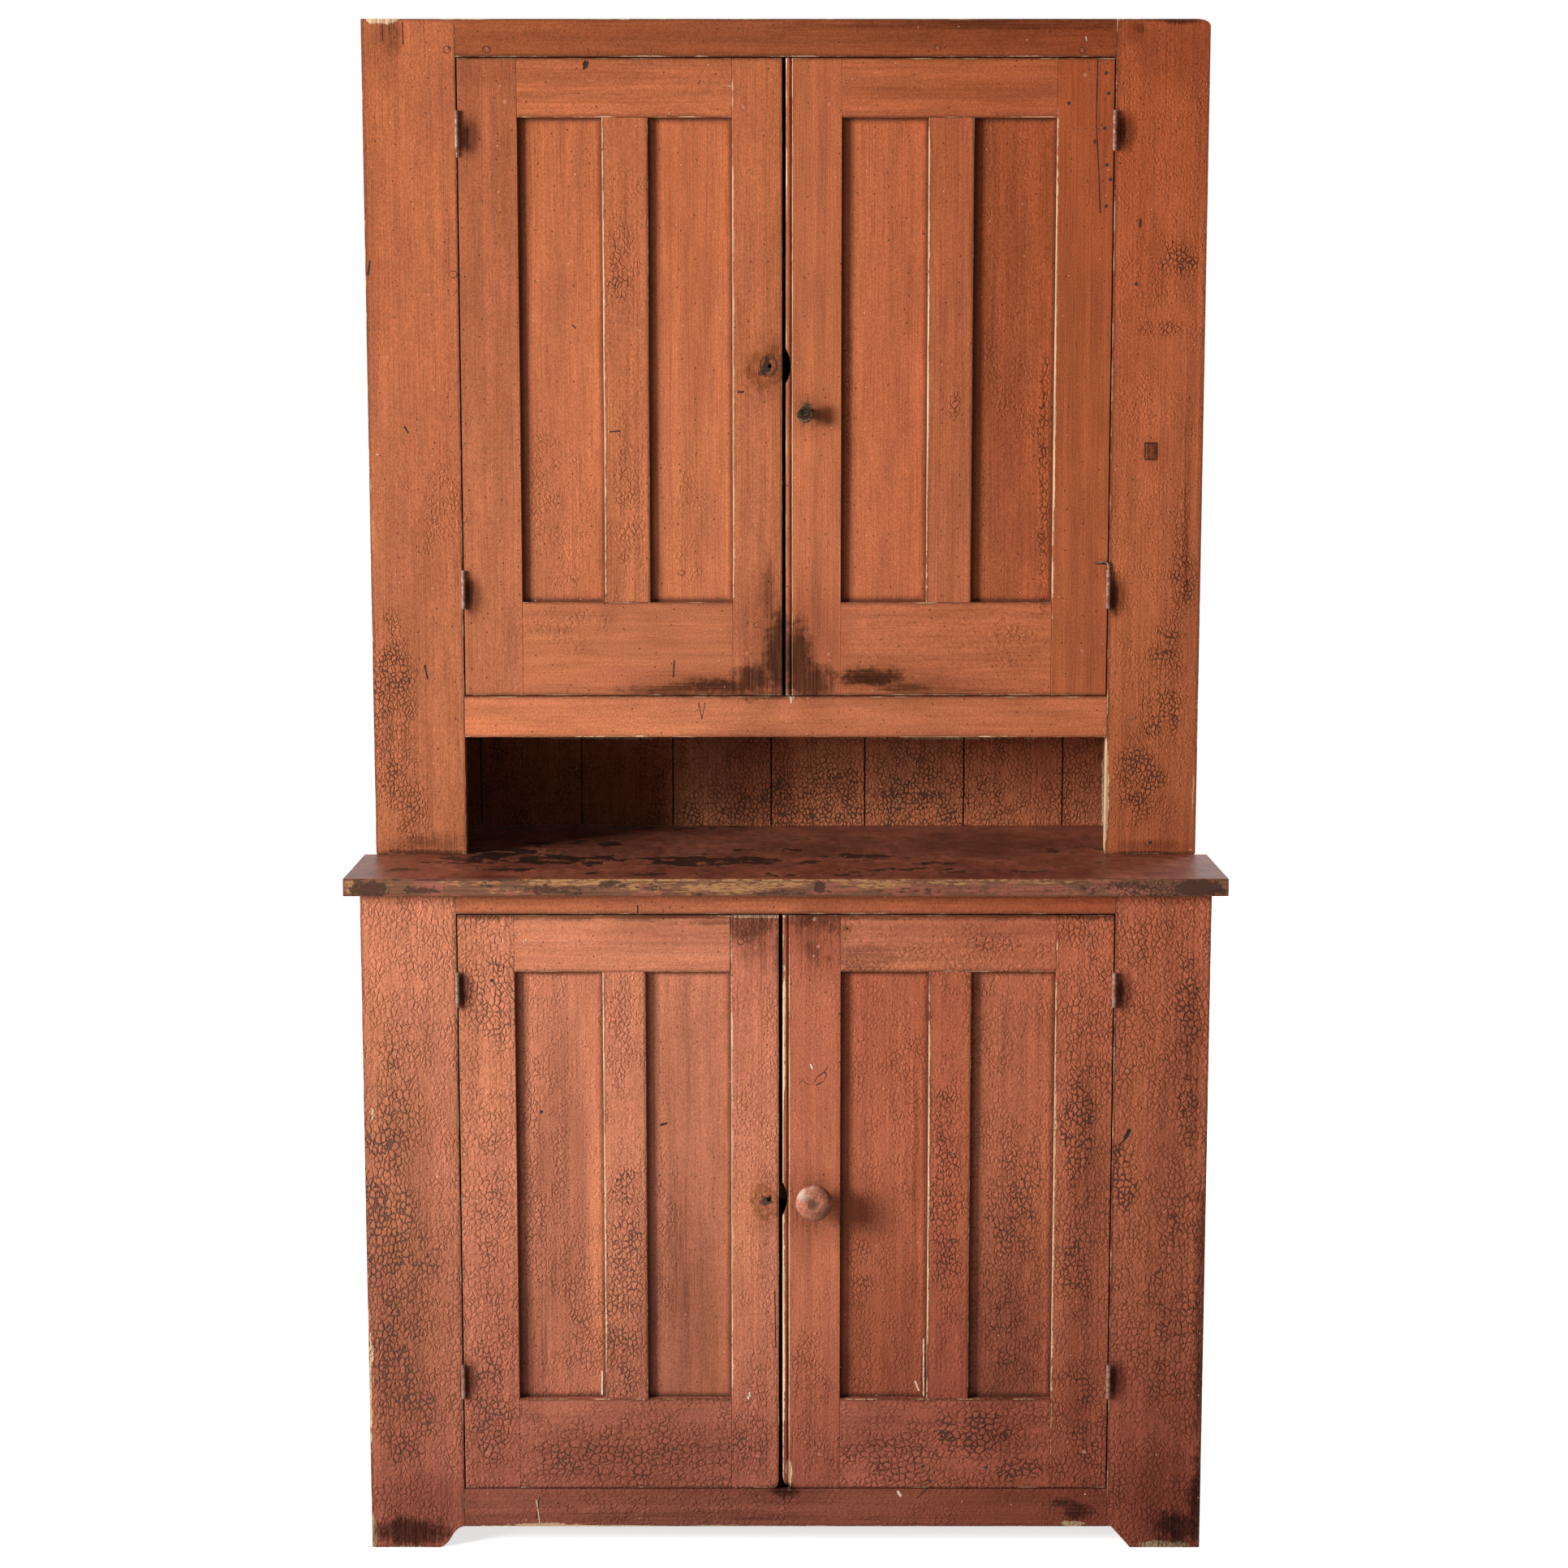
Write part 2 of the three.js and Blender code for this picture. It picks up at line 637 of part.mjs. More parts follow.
// Left foot runs up in an ogee, the right one in a straight slant
function footOutline(width, height, side) {
  const shape = new THREE.Shape();
  shape.moveTo(0, 0);
  if (side > 0) {
    shape.lineTo(width - ogeeFootRun, 0);
    const middleX = width - ogeeFootRun / 2;
    const middleZ = footHeight / 2;
    shape.quadraticCurveTo(middleX - ogeeSwell / 2, 0, middleX, middleZ);
    shape.quadraticCurveTo(middleX + ogeeSwell / 2, footHeight, width, footHeight);
  } else {
    shape.lineTo(-(width - slantFootShoulder - slantFootRun), 0);
    shape.lineTo(-(width - slantFootShoulder), footHeight);
    shape.lineTo(-width, footHeight);
  }
  shape.lineTo(side * width, height);
  shape.lineTo(0, height);
  return shape;
}

function lowerStile(side) {
  const rails = [[footHeight, lowerFloorTop], [lowerHeight - lowerTopRail, lowerHeight]];
  const stile = carriedBack(footOutline(lowerStileWidth, lowerHeight, side), 0, frameThickness);
  const cuts = caseStileCuts(lowerStileWidth, side, rails, lowerRow, lowerDoorHeight, lowerDoorBottom);
  return stile.subtract(cuts);
}

function upperStile(side) {
  const rails = [[nicheHeight, upperFloorTop], [upperHeight - upperTopRail, upperHeight]];
  const stile = box([0, side * upperStileWidth], [0, frameThickness], [0, upperHeight]);
  const cuts = caseStileCuts(upperStileWidth, side, rails, upperRow, upperDoorHeight, upperDoorBottom);
  return stile.subtract(cuts);
}

// Side boards, housed for each shelf and rabbeted for the back
function sideBoard(depth, height, side, housings, topHousing) {
  const face = side * sideThickness;
  const floorOfHousing = face - side * housingDepth;
  const boardBack = depth - backThickness;
  let board = box([0, face], [0, depth], [0, height]);
  const rabbet = [face - side * rabbetWidth, face + side * overrun];
  const whole = [-overrun, height + overrun];
  board = board.subtract(box(rabbet, [boardBack, depth + overrun], whole));
  const housing = [floorOfHousing, face + side * overrun];
  for (const [low, start] of housings) {
    const span = [low - fit, low + shelfThickness + fit];
    board = board.subtract(box(housing, [start - fit, boardBack + fit], span));
  }
  if (topHousing) {
    const span = [height - shelfThickness - fit, height + overrun];
    board = board.subtract(box(housing, [-overrun, boardBack + fit], span));
  }
  return board;
}

function arch(depth) {
  const radius = archChord ** 2 / (8 * archRise) + archRise / 2;
  return rod(radius, -lowerWidth, lowerWidth, 'x', depth / 2, archRise - radius, turnedSides);
}

function shelf(width, front) {
  const half = width / 2 - sideThickness + housingDepth - fit;
  return box([-half, half], [front, boardFront - fit], [0, shelfThickness]);
}

// Planked back: lapped boards whose seams show on both faces
function plankedBack(width, low, high) {
  const half = width / 2 - sideThickness + rabbetWidth - fit;
  let back = box([-half, half], [boardFront + fit, caseDepth], [low, high]);
  let x = -half;
  const tall = [low - overrun, high + overrun];
  for (const share of backBoardShares.slice(0, -1)) {
    x += share * 2 * half;
    const lap = x + lapWidth;
    const frontSeam = [x - seamWidth / 2, x + seamWidth / 2];
    const rearSeam = [lap - seamWidth / 2, lap + seamWidth / 2];
    back = back.subtract(box(frontSeam, [boardFront - overrun, boardFront + seamDepth], tall));
    back = back.subtract(box(rearSeam, [caseDepth - backSeamDepth, caseDepth + overrun], tall));
  }
  return back;
}

// The wood that wear has taken off the case's top right corner, which lies at the origin here
function topWear() {
  const shape = new THREE.Shape();
  shape.moveTo(-topWearRun, 0);
  shape.quadraticCurveTo(0, 0, 0, -topWearDrop);
  shape.lineTo(overrun, -topWearDrop);
  shape.lineTo(overrun, overrun);
  shape.lineTo(-topWearRun, overrun);
  return carriedBack(shape, -overrun, caseDepth + 2 * overrun);
}

// Counter with its front edge eased, wide in front and as wide as the upper case beside it
function counterBoard() {
  const halfWidth = lowerWidth / 2 + counterSideOverhang;
  const eased = counterEdgeRadius;
  const profile = new THREE.Shape();
  const easedStart = eased - counterFrontOverhang;
  const easedHigh = counterThickness - eased;
  profile.moveTo(easedStart, 0);
  profile.lineTo(caseDepth, 0);
  profile.lineTo(caseDepth, counterThickness);
  profile.lineTo(easedStart, counterThickness);
  profile.absarc(easedStart, easedHigh, eased, Math.PI / 2, Math.PI, false);
  profile.absarc(easedStart, eased, eased, Math.PI, 1.5 * Math.PI, false);
  const options = { depth: 2 * halfWidth, bevelEnabled: false, curveSegments: 5 };
  const geometry = new THREE.ExtrudeGeometry(profile, options);
  geometry.rotateX(Math.PI / 2).rotateZ(Math.PI / 2).translate(-halfWidth, 0, 0);
  let board = toSolid(geometry);
  for (const side of [1, -1]) {
    const beside = [side * upperWidth / 2, side * (halfWidth + overrun)];
    const behind = [stepBack, caseDepth + overrun];
    board = board.subtract(box(beside, behind, [-overrun, counterThickness + overrun]));
  }
  return board;
}

function addLowerCase(parent) {
  const group = new THREE.Group();
  parent.add(group);
  const half = lowerWidth / 2;
  const sideFront = frameThickness + fit;
  const sideDepth = caseDepth - sideFront;
  const floorBase = lowerFloorTop - shelfThickness;
  const shelfBase = lowerFloorTop + (lowerHeight - lowerFloorTop) * lowerShelfShare - shelfThickness;
  const housings = [[floorBase, 0], [shelfBase, shelfSetBack - fit]];
  for (const side of [1, -1]) {
    const handed = side > 0 ? 'left' : 'right';
    const board = sideBoard(sideDepth, lowerHeight, side, housings, false).subtract(arch(sideDepth));
    addPiece(group, `lower_${handed}_side_board`, board, lowerPaint(), -side * half, sideFront);
    addPiece(group, `lower_${handed}_case_stile`, lowerStile(side), lowerPaint(), -side * half);
  }
  const opening = lowerWidth - 2 * lowerStileWidth;
  const topRail = caseRail(opening, [0, lowerTopRail]);
  const bottomRail = caseRail(opening, [0, lowerBottomRail]);
  addPiece(group, 'lower_top_rail', topRail, lowerPaint(), 0, 0, lowerHeight - lowerTopRail);
  addPiece(group, 'lower_bottom_rail', bottomRail, lowerPaint(), 0, 0, footHeight);
  addPiece(group, 'lower_floor_board', shelf(lowerWidth, sideFront), insideWood(), 0, 0, floorBase);
  const lowerShelf = shelf(lowerWidth, sideFront + shelfSetBack);
  addPiece(group, 'lower_shelf', lowerShelf, insideWood(), 0, 0, shelfBase);
  const backBoards = plankedBack(lowerWidth, footHeight, lowerHeight);
  addPiece(group, 'lower_back_boards', backBoards, insideWood());
  addPiece(group, 'counter_top', counterBoard(), counterPaint(), 0, 0, counterBase);
  return addRow(group, lowerRow, opening, lowerDoorHeight, 0, lowerDoorBottom);
}

function addUpperCase(parent) {
  const group = new THREE.Group();
  group.position.set(0, 0, upperBase);
  parent.add(group);
  const half = upperWidth / 2;
  const sideFront = stepBack + frameThickness + fit;
  const sideDepth = caseDepth - sideFront;
  const floorBase = upperFloorTop - shelfThickness;
  const space = upperHeight - shelfThickness - upperFloorTop;
  const shelfBases = upperShelfShares.map((share) => upperFloorTop + space * share - shelfThickness);
  const housings = [[floorBase, 0], ...shelfBases.map((base) => [base, shelfSetBack - fit])];
  for (const side of [1, -1]) {
    const handed = side > 0 ? 'left' : 'right';
    const wear = topWear().translate([0, 0, upperHeight]);
    let board = sideBoard(sideDepth, upperHeight, side, housings, true);
    let stile = upperStile(side);
    if (side < 0) {
      board = board.subtract(wear);
      stile = stile.subtract(wear);
    }
    addPiece(group, `upper_${handed}_side_board`, board, upperPaint(), -side * half, sideFront);
    addPiece(group, `upper_${handed}_case_stile`, stile, upperPaint(), -side * half, stepBack);
  }
  const opening = upperWidth - 2 * upperStileWidth;
  const topRail = caseRail(opening, [0, upperTopRail]);
  addPiece(group, 'upper_top_rail', topRail, upperPaint(), 0, stepBack, upperHeight - upperTopRail);
  const midRail = caseRail(opening, [0, upperMidRail]);
  addPiece(group, 'upper_mid_rail', midRail, upperPaint(), 0, stepBack, nicheHeight);
  addPiece(group, 'upper_floor_board', shelf(upperWidth, sideFront), insideWood(), 0, 0, floorBase);
  shelfBases.forEach((base, index) => {
    const board = shelf(upperWidth, sideFront + shelfSetBack);
    addPiece(group, `upper_shelf_${index + 1}`, board, insideWood(), 0, 0, base);
  });
  const boardWear = topWear().translate([half, 0, shelfThickness]);
  const topBoard = shelf(upperWidth, sideFront).subtract(boardWear);
  addPiece(group, 'upper_top_board', topBoard, insideWood(), 0, 0, upperHeight - shelfThickness);
  const backWear = topWear().translate([half, 0, upperHeight]);
  const backBoards = plankedBack(upperWidth, 0, upperHeight).subtract(backWear);
  addPiece(group, 'upper_back_boards', backBoards, insideWood());
  return addRow(group, upperRow, opening, upperDoorHeight, stepBack, upperDoorBottom);
}

const cupboard = new THREE.Group();
cupboard.position.set(0, -(frontMost + caseDepth) / 2, 0);
const knobX = addLowerCase(cupboard);
const knobZ = lowerDoorBottom + lowerRow.latchHeight;
addPiece(cupboard, 'lower_latch_knob', turnedKnob(), knobWood(), knobX, -fit, knobZ);
addPiece(cupboard, 'lower_latch_bar', woodTurnBar(), insideWood(), knobX, frameThickness + fit, knobZ);
const postX = addUpperCase(cupboard);
const postZ = upperBase + upperDoorBottom + upperRow.latchHeight;
addPiece(cupboard, 'upper_iron_latch', ironLatch(), darkIron(), postX, stepBack - fit, postZ);

export default cupboard;
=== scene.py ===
import json
import math

import bmesh
import bpy
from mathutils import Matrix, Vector


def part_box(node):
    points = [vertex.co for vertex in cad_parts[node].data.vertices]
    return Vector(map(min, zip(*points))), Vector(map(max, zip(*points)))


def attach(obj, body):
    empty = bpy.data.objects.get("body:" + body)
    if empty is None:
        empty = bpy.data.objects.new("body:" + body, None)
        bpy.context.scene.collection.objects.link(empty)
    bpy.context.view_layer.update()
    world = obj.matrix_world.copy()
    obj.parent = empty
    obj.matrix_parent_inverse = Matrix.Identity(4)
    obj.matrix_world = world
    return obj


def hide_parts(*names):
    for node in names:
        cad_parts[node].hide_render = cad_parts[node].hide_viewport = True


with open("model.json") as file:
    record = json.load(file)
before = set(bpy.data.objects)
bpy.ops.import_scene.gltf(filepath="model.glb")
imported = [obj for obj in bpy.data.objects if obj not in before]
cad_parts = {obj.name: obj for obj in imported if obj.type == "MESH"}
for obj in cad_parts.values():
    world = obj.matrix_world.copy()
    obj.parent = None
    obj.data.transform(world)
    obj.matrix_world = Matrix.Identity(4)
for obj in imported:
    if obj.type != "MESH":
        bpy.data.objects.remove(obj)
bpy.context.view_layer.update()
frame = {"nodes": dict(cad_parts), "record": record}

bl_info = {
    "name": "Step back cupboard",
    "version": (1, 0, 0),
    "blender": (4, 5, 0),
    "location": "View3D > Sidebar > Cupboard",
    "description": "Finishes a painted step back cupboard around its packed solids",
    "category": "Object",
}

# Where the cupboard is seen from: metres, radians, and pixels of a square view
VIEW_PIXELS = 1932
VIEW_CENTRE = VIEW_PIXELS / 2
LENS_PIXELS = 3687.66
SENSOR_WIDTH = 36.0
EYE = Vector((-0.00248, -4.25861, 1.64745))
EYE_DROP = math.radians(7.873)

LOWER_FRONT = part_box("lower_left_case_stile")[0].y
UPPER_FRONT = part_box("upper_left_case_stile")[0].y
COUNTER_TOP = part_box("counter_top")[1].z
NICHE_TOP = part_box("upper_mid_rail")[0].z
COUNTER_ROW = 1080

# Lengths in metres and angles that masks and meshes share
FAR = 1.0
THROUGH = 10 * FAR
STEP = 0.01
SKIN = 0.0006
WELD = 0.00002
FLAT_ANGLE = math.radians(0.6)
SHARP_ANGLE = math.radians(35)
SHORTEST_ARRIS = 0.002

ROWS = ("upper", "lower")
HANDS = ("left", "right")
LEVELS = ("low", "high")
DOOR_PARTS = (
    "hinge_stile", "lock_stile", "top_rail", "bottom_rail", "muntin", "outer_panel", "inner_panel",
)
BACK_BOARD_SHARES = (0.1, 0.132, 0.12, 0.129, 0.123, 0.13, 0.13, 0.136)

# Painted light falloff: colour factors at the top left, top right, bottom left and bottom right of each
# case, which lighten, darken and shift the paint as the key light and its sheen fall off across it
PAINTED_FALLOFF_FACTORS = {
    "upper": ((0.88, 0.80, 0.72), (0.86, 0.67, 0.56), (0.97, 0.99, 1.00), (0.93, 0.84, 0.80)),
    "lower": ((1.05, 1.14, 1.15), (0.90, 0.78, 0.72), (1.03, 1.14, 1.20), (0.84, 0.79, 0.77)),
}
PAINTED_FALLOFF_HEIGHTS = {"upper": (1.15, 2.10), "lower": (0.05, 0.90)}

# How light or dark each board's paint is beside the others: partly its own tone, partly painted shade and
# light where the key light falls off towards the right and the top
TONES_AND_PAINTED_SHADE = {
    "upper_top_rail": (0.66, 0.62, 0.56), "upper_left_case_stile": (0.91, 0.91, 0.9),
    "upper_left_door_hinge_stile": 0.92, "upper_left_door_inner_panel": 1.08,
    "upper_left_door_lock_stile": 1.03, "upper_right_door_lock_stile": 1.06,
    "upper_right_door_inner_panel": 1.05, "upper_right_door_outer_panel": (0.84, 0.79, 0.74),
    "upper_right_door_hinge_stile": (0.92, 0.86, 0.78), "upper_right_case_stile": (0.98, 0.97, 0.92),
    "lower_bottom_rail": 0.72, "lower_right_case_stile": 0.94, "lower_right_door_hinge_stile": 0.98,
    "lower_right_door_outer_panel": 0.97, "lower_right_door_inner_panel": (0.92, 0.8, 0.74),
    "lower_right_door_muntin": (0.86, 0.76, 0.74), "lower_right_door_lock_stile": (0.96, 0.88, 0.86),
    "lower_top_rail": (0.78, 0.68, 0.58), "upper_mid_rail": (1.16, 1.2, 1.2),
    "lower_left_door_top_rail": 1.08, "lower_left_door_bottom_rail": 1.05,
    "lower_left_door_outer_panel": 1.12, "lower_left_door_lock_stile": 1.12,
}

# Cracks that lie all over a board, under its marks
BASE_CRACKLE = {
    "lower_right_case_stile": 0.45, "lower_left_case_stile": 0.36, "lower_right_door_hinge_stile": 0.45,
    "lower_left_door_hinge_stile": 0.34, "lower_right_door_outer_panel": 0.30,
    "lower_left_door_bottom_rail": 0.36, "lower_right_door_bottom_rail": 0.36,
    "lower_left_door_top_rail": 0.06, "lower_top_rail": 0.08, "lower_left_door_inner_panel": 0.12,
    "lower_right_door_lock_stile": 0.16, "upper_right_case_stile": 0.20, "upper_left_case_stile": 0.12,
    "upper_right_door_outer_panel": 0.16, "upper_left_door_muntin": 0.16, "upper_back_boards": 0.50,
}

# Width and height of the islands between the cracks, in metres
CELLS = {
    "lower_left_case_stile": (0.0072, 0.0104), "lower_right_case_stile": (0.0076, 0.0094),
    "lower_left_door_hinge_stile": (0.0076, 0.0092), "lower_right_door_hinge_stile": (0.0070, 0.0090),
    "upper_left_case_stile": (0.0060, 0.0082), "upper_right_case_stile": (0.0060, 0.0080),
}

# Marks of age and painted shade: pixel of the view, half width and half height in pixels, strength
CRACKLE_MARKS = (
    (484, 880, 30, 150, 0.85), (545, 640, 35, 120, 0.3), (505, 990, 30, 70, 0.55),
    (1456, 322, 26, 26, 0.75), (1430, 405, 34, 14, 0.7), (1455, 650, 16, 80, 0.6),
    (1457, 720, 18, 44, 0.75), (1442, 800, 28, 54, 0.95), (1430, 880, 34, 54, 1.05),
    (1404, 965, 36, 64, 1.05), (1286, 590, 12, 200, 0.7), (1175, 500, 10, 24, 0.6),
    (1240, 480, 60, 130, 0.22), (1044, 520, 8, 160, 0.35), (850, 640, 30, 100, 0.22),
    (690, 620, 60, 130, 0.3), (765, 330, 22, 60, 0.5), (775, 620, 25, 140, 0.3), (1240, 800, 70, 40, 0.3),
    (490, 1340, 44, 110, 0.75), (484, 1500, 44, 150, 1.1), (490, 1660, 46, 120, 0.9),
    (500, 1730, 60, 110, 0.75), (470, 1230, 30, 60, 0.4), (605, 1240, 34, 80, 0.75),
    (605, 1500, 36, 160, 0.55), (605, 1730, 36, 110, 0.75), (655, 1450, 18, 250, 0.5),
    (720, 1610, 50, 120, 0.45), (770, 1600, 28, 190, 0.85), (765, 1290, 25, 110, 0.45),
    (820, 1500, 20, 200, 0.3), (690, 1440, 16, 90, 0.6), (496, 1600, 52, 160, 1),
    (800, 1785, 170, 55, 0.85), (935, 1740, 30, 70, 0.6), (1000, 1720, 30, 110, 0.45),
    (1225, 1160, 60, 16, 0.45), (1060, 1620, 24, 160, 0.45), (1120, 1370, 36, 170, 0.45),
    (1165, 1500, 26, 250, 0.65), (1250, 1540, 50, 240, 0.7), (1325, 1400, 28, 76, 1.35),
    (1328, 1570, 30, 90, 1), (1335, 1700, 28, 70, 0.6), (1340, 1790, 30, 60, 0.7),
    (1195, 1768, 64, 34, 1.3), (1262, 1812, 44, 18, 1.4), (1100, 1790, 100, 44, 0.7),
    (1464, 1215, 24, 100, 1), (1404, 1180, 20, 60, 0.5), (1464, 1370, 20, 76, 1.35),
    (1388, 1450, 22, 66, 1.25), (1452, 1560, 44, 110, 0.8), (1445, 1720, 60, 200, 0.6),
    (800, 1852, 330, 22, 0.3), (690, 770, 90, 40, 0.2), (1010, 985, 80, 60, 1.15),
    (1125, 990, 80, 60, 1.1), (890, 995, 70, 54, 1), (1250, 980, 70, 50, 0.65), (640, 985, 60, 50, 0.3),
)
# Grime and stains; the eight narrow marks just right of the hinge barrels are painted hinge shadows
GRIME_AND_SHADOW_MARKS = (
    (957, 806, 20, 70, 0.95), (948, 730, 14, 60, 0.45), (985, 812, 26, 60, 0.95),
    (1000, 838, 38, 28, 0.9), (890, 846, 84, 16, 0.95), (835, 850, 70, 10, 0.7), (925, 838, 40, 26, 0.9),
    (1075, 835, 52, 17, 1), (1180, 852, 120, 7, 0.5), (1112, 848, 48, 9, 0.75), (948, 455, 30, 40, 0.2),
    (1003, 510, 26, 26, 0.45), (945, 1480, 26, 34, 0.2), (1000, 1488, 38, 40, 0.4),
    (935, 1172, 30, 40, 0.35), (1065, 1182, 44, 22, 0.45), (960, 1180, 12, 50, 0.6),
    (1003, 1172, 24, 24, 0.5), (480, 1660, 40, 220, 0.3), (510, 1888, 60, 22, 0.9),
    (1480, 1600, 16, 260, 0.7), (1484, 1840, 26, 100, 0.9), (1455, 1884, 56, 24, 0.95),
    (1470, 1300, 18, 200, 0.45), (1462, 620, 10, 200, 0.4), (880, 1868, 320, 10, 0.35),
    (1330, 1862, 22, 14, 0.8), (1313, 1852, 18, 8, 0.6), (1450, 22, 56, 8, 0.85),
    (1128, 1460, 8, 250, 0.35), (1040, 1690, 8, 40, 0.4), (1365, 700, 8, 40, 0.5), (565, 700, 8, 40, 0.3),
    (1418, 556, 12, 15, 0.6), (1405, 34, 14, 9, 0.5), (520, 1050, 60, 5, 0.8), (1420, 1051, 60, 4, 0.6),
    (1366, 160, 16, 60, 0.3), (1349, 175, 3, 4, 0.8), (1405, 275, 3, 8, 0.8), (840, 1040, 260, 14, 0.4),
    (480, 40, 24, 34, 0.45), (1200, 30, 240, 8, 0.55), (1060, 32, 200, 6, 0.35), (968, 1836, 26, 12, 0.9),
    (530, 1036, 60, 14, 0.45), (1420, 1040, 60, 10, 0.35), (721, 79, 4, 6, 1), (1138, 1696, 6, 40, 0.7),
    (875, 1135, 60, 6, 0.6), (575, 168, 7, 26, 0.8), (579, 735, 7, 26, 0.8), (568, 1222, 7, 26, 0.8),
    (573, 1700, 6, 26, 0.7), (1384, 162, 7, 26, 0.8), (1373, 735, 7, 26, 0.8), (1382, 1222, 7, 26, 0.7),
    (1372, 1700, 6, 26, 0.7), (955, 860, 26, 3, 0.6), (660, 1640, 30, 120, 0.3),
    (830, 1560, 40, 160, 0.28), (1240, 1650, 60, 120, 0.3), (1340, 1500, 34, 330, 0.3),
    (500, 1560, 60, 260, 0.22),
)
# Soft darkening: stains, and painted shade: shadows to the right of the eight hinges, shade across the
# niche's back boards and below the counter
SHADE_MARKS = (
    (690, 1470, 40, 260, 0.45), (850, 1580, 40, 200, 0.35), (840, 1290, 30, 120, 0.2),
    (655, 1640, 20, 150, 0.3), (800, 1790, 190, 70, 0.45), (1240, 1640, 60, 220, 0.35),
    (1340, 1560, 40, 300, 0.35), (1440, 1500, 50, 420, 0.3), (1440, 1760, 60, 150, 0.3),
    (500, 1520, 70, 330, 0.35), (1090, 1640, 50, 140, 0.25), (1000, 1488, 70, 60, 0.35),
    (945, 1480, 50, 60, 0.1), (1060, 1500, 50, 60, 0.4), (948, 455, 44, 60, 0.15),
    (1000, 510, 40, 40, 0.25), (940, 790, 40, 110, 0.45), (1000, 800, 50, 110, 0.45),
    (1100, 840, 130, 34, 0.4), (860, 845, 130, 26, 0.4), (1240, 420, 50, 330, 0.2),
    (1165, 560, 30, 260, 0.12), (700, 88, 130, 20, 0.25), (1200, 110, 160, 26, 0.2),
    (1250, 40, 260, 26, 0.3), (1450, 60, 60, 60, 0.35), (470, 60, 30, 60, 0.3), (460, 300, 16, 260, 0.2),
    (850, 1150, 120, 24, 0.3), (1010, 1160, 50, 60, 0.45), (1200, 1150, 160, 30, 0.3),
    (1425, 560, 26, 34, 0.25), (1440, 820, 50, 300, 0.1), (500, 800, 50, 260, 0.18),
    (520, 1860, 70, 60, 0.5), (1440, 1840, 70, 90, 0.6), (965, 1840, 60, 20, 0.4),
    (750, 700, 20, 90, 0.25), (800, 1650, 20, 120, 0.2), (1240, 80, 200, 20, 0.15),
    (930, 960, 80, 80, 0.85), (1080, 960, 110, 40, 0.15), (579, 168, 14, 30, 0.95),
    (583, 735, 14, 30, 0.95), (572, 1222, 15, 30, 0.95), (577, 1700, 14, 30, 0.95),
    (1388, 162, 16, 30, 0.95), (1377, 735, 14, 30, 0.95), (1386, 1222, 14, 30, 0.95),
    (1377, 1700, 14, 30, 0.95), (1003, 1150, 40, 44, 0.65), (935, 1150, 40, 36, 0.55),
    (1400, 40, 20, 20, 0.5), (520, 1046, 60, 16, 0.5), (1420, 1046, 60, 12, 0.45),
    (1480, 700, 14, 330, 0.35), (590, 90, 60, 20, 0.25),
)
BARE_MARKS = (
    (468, 24, 30, 7, 1.1), (505, 1908, 44, 5, 0.9), (1430, 1903, 46, 7, 0.8), (740, 909, 130, 3, 0.66),
    (1150, 909, 160, 3, 0.58), (975, 859, 5, 5, 0.8), (668, 1879, 46, 3, 0.9),
    (830, 1880, 330, 1.6, 0.62), (1322, 1877, 18, 4, 0.9), (459, 1372, 2, 10, 0.9),
    (455, 1700, 3, 150, 0.72), (460, 1890, 4, 30, 0.9), (1493, 1890, 6, 24, 0.6),
    (965, 1640, 3, 180, 0.9), (966, 1250, 3, 110, 0.8), (972, 1815, 5, 22, 0.9), (1361, 980, 6, 84, 1.4),
    (457, 650, 4, 90, 0.4), (1470, 980, 4, 60, 0.4), (1004, 1133, 8, 6, 0.6), (935, 1129, 66, 3, 1),
)
COUNTER_EDGE_DARK = (
    (1475, 1094, 40, 16, 1), (455, 1096, 30, 16, 0.9), (1010, 1092, 7, 12, 1), (760, 1090, 26, 7, 0.7),
    (800, 1094, 30, 6, 0.6), (520, 1096, 34, 8, 0.7), (680, 1096, 60, 8, 0.6), (600, 1090, 30, 5, 0.5),
    (960, 1100, 70, 4, 0.6), (1120, 1098, 60, 6, 0.5), (1250, 1098, 90, 6, 0.4), (870, 1102, 120, 3, 0.5),
    (560, 1084, 120, 2.5, 0.8), (1340, 1096, 60, 8, 0.5), (1400, 1090, 50, 8, 0.7),
)
COUNTER_EDGE_BARE = (
    (900, 1094, 90, 10, 1), (790, 1092, 60, 9, 0.8), (1080, 1090, 60, 7, 0.9), (1170, 1088, 60, 5, 0.8),
    (1290, 1087, 70, 4, 0.7), (430, 1092, 8, 14, 1), (700, 1088, 80, 6, 0.9), (580, 1088, 70, 5, 0.7),
    (620, 1098, 40, 6, 0.6), (840, 1100, 80, 5, 0.6), (1420, 1088, 40, 4, 0.5), (470, 1092, 18, 8, 0.5),
    (960, 1090, 60, 6, 0.9),
)
COUNTER_EDGE_RED = (
    (530, 1094, 26, 12, 1), (640, 1100, 40, 5, 0.8), (1030, 1098, 50, 8, 0.7), (1130, 1096, 70, 10, 0.9),
    (1270, 1098, 90, 9, 1), (1380, 1092, 60, 14, 0.9), (1090, 1086, 60, 5, 0.5), (800, 1102, 60, 4, 0.5),
)
COUNTER_ARRIS_BARE = ((760, 1086, 190, 9, 1.0), (1000, 1086, 170, 9, 1.0), (1230, 1086, 90, 9, 0.7))
COUNTER_EDGE_CRACKED = ((1400, 1094, 80, 16, 0.9), (540, 1094, 26, 12, 0.4), (1300, 1098, 60, 8, 0.5))
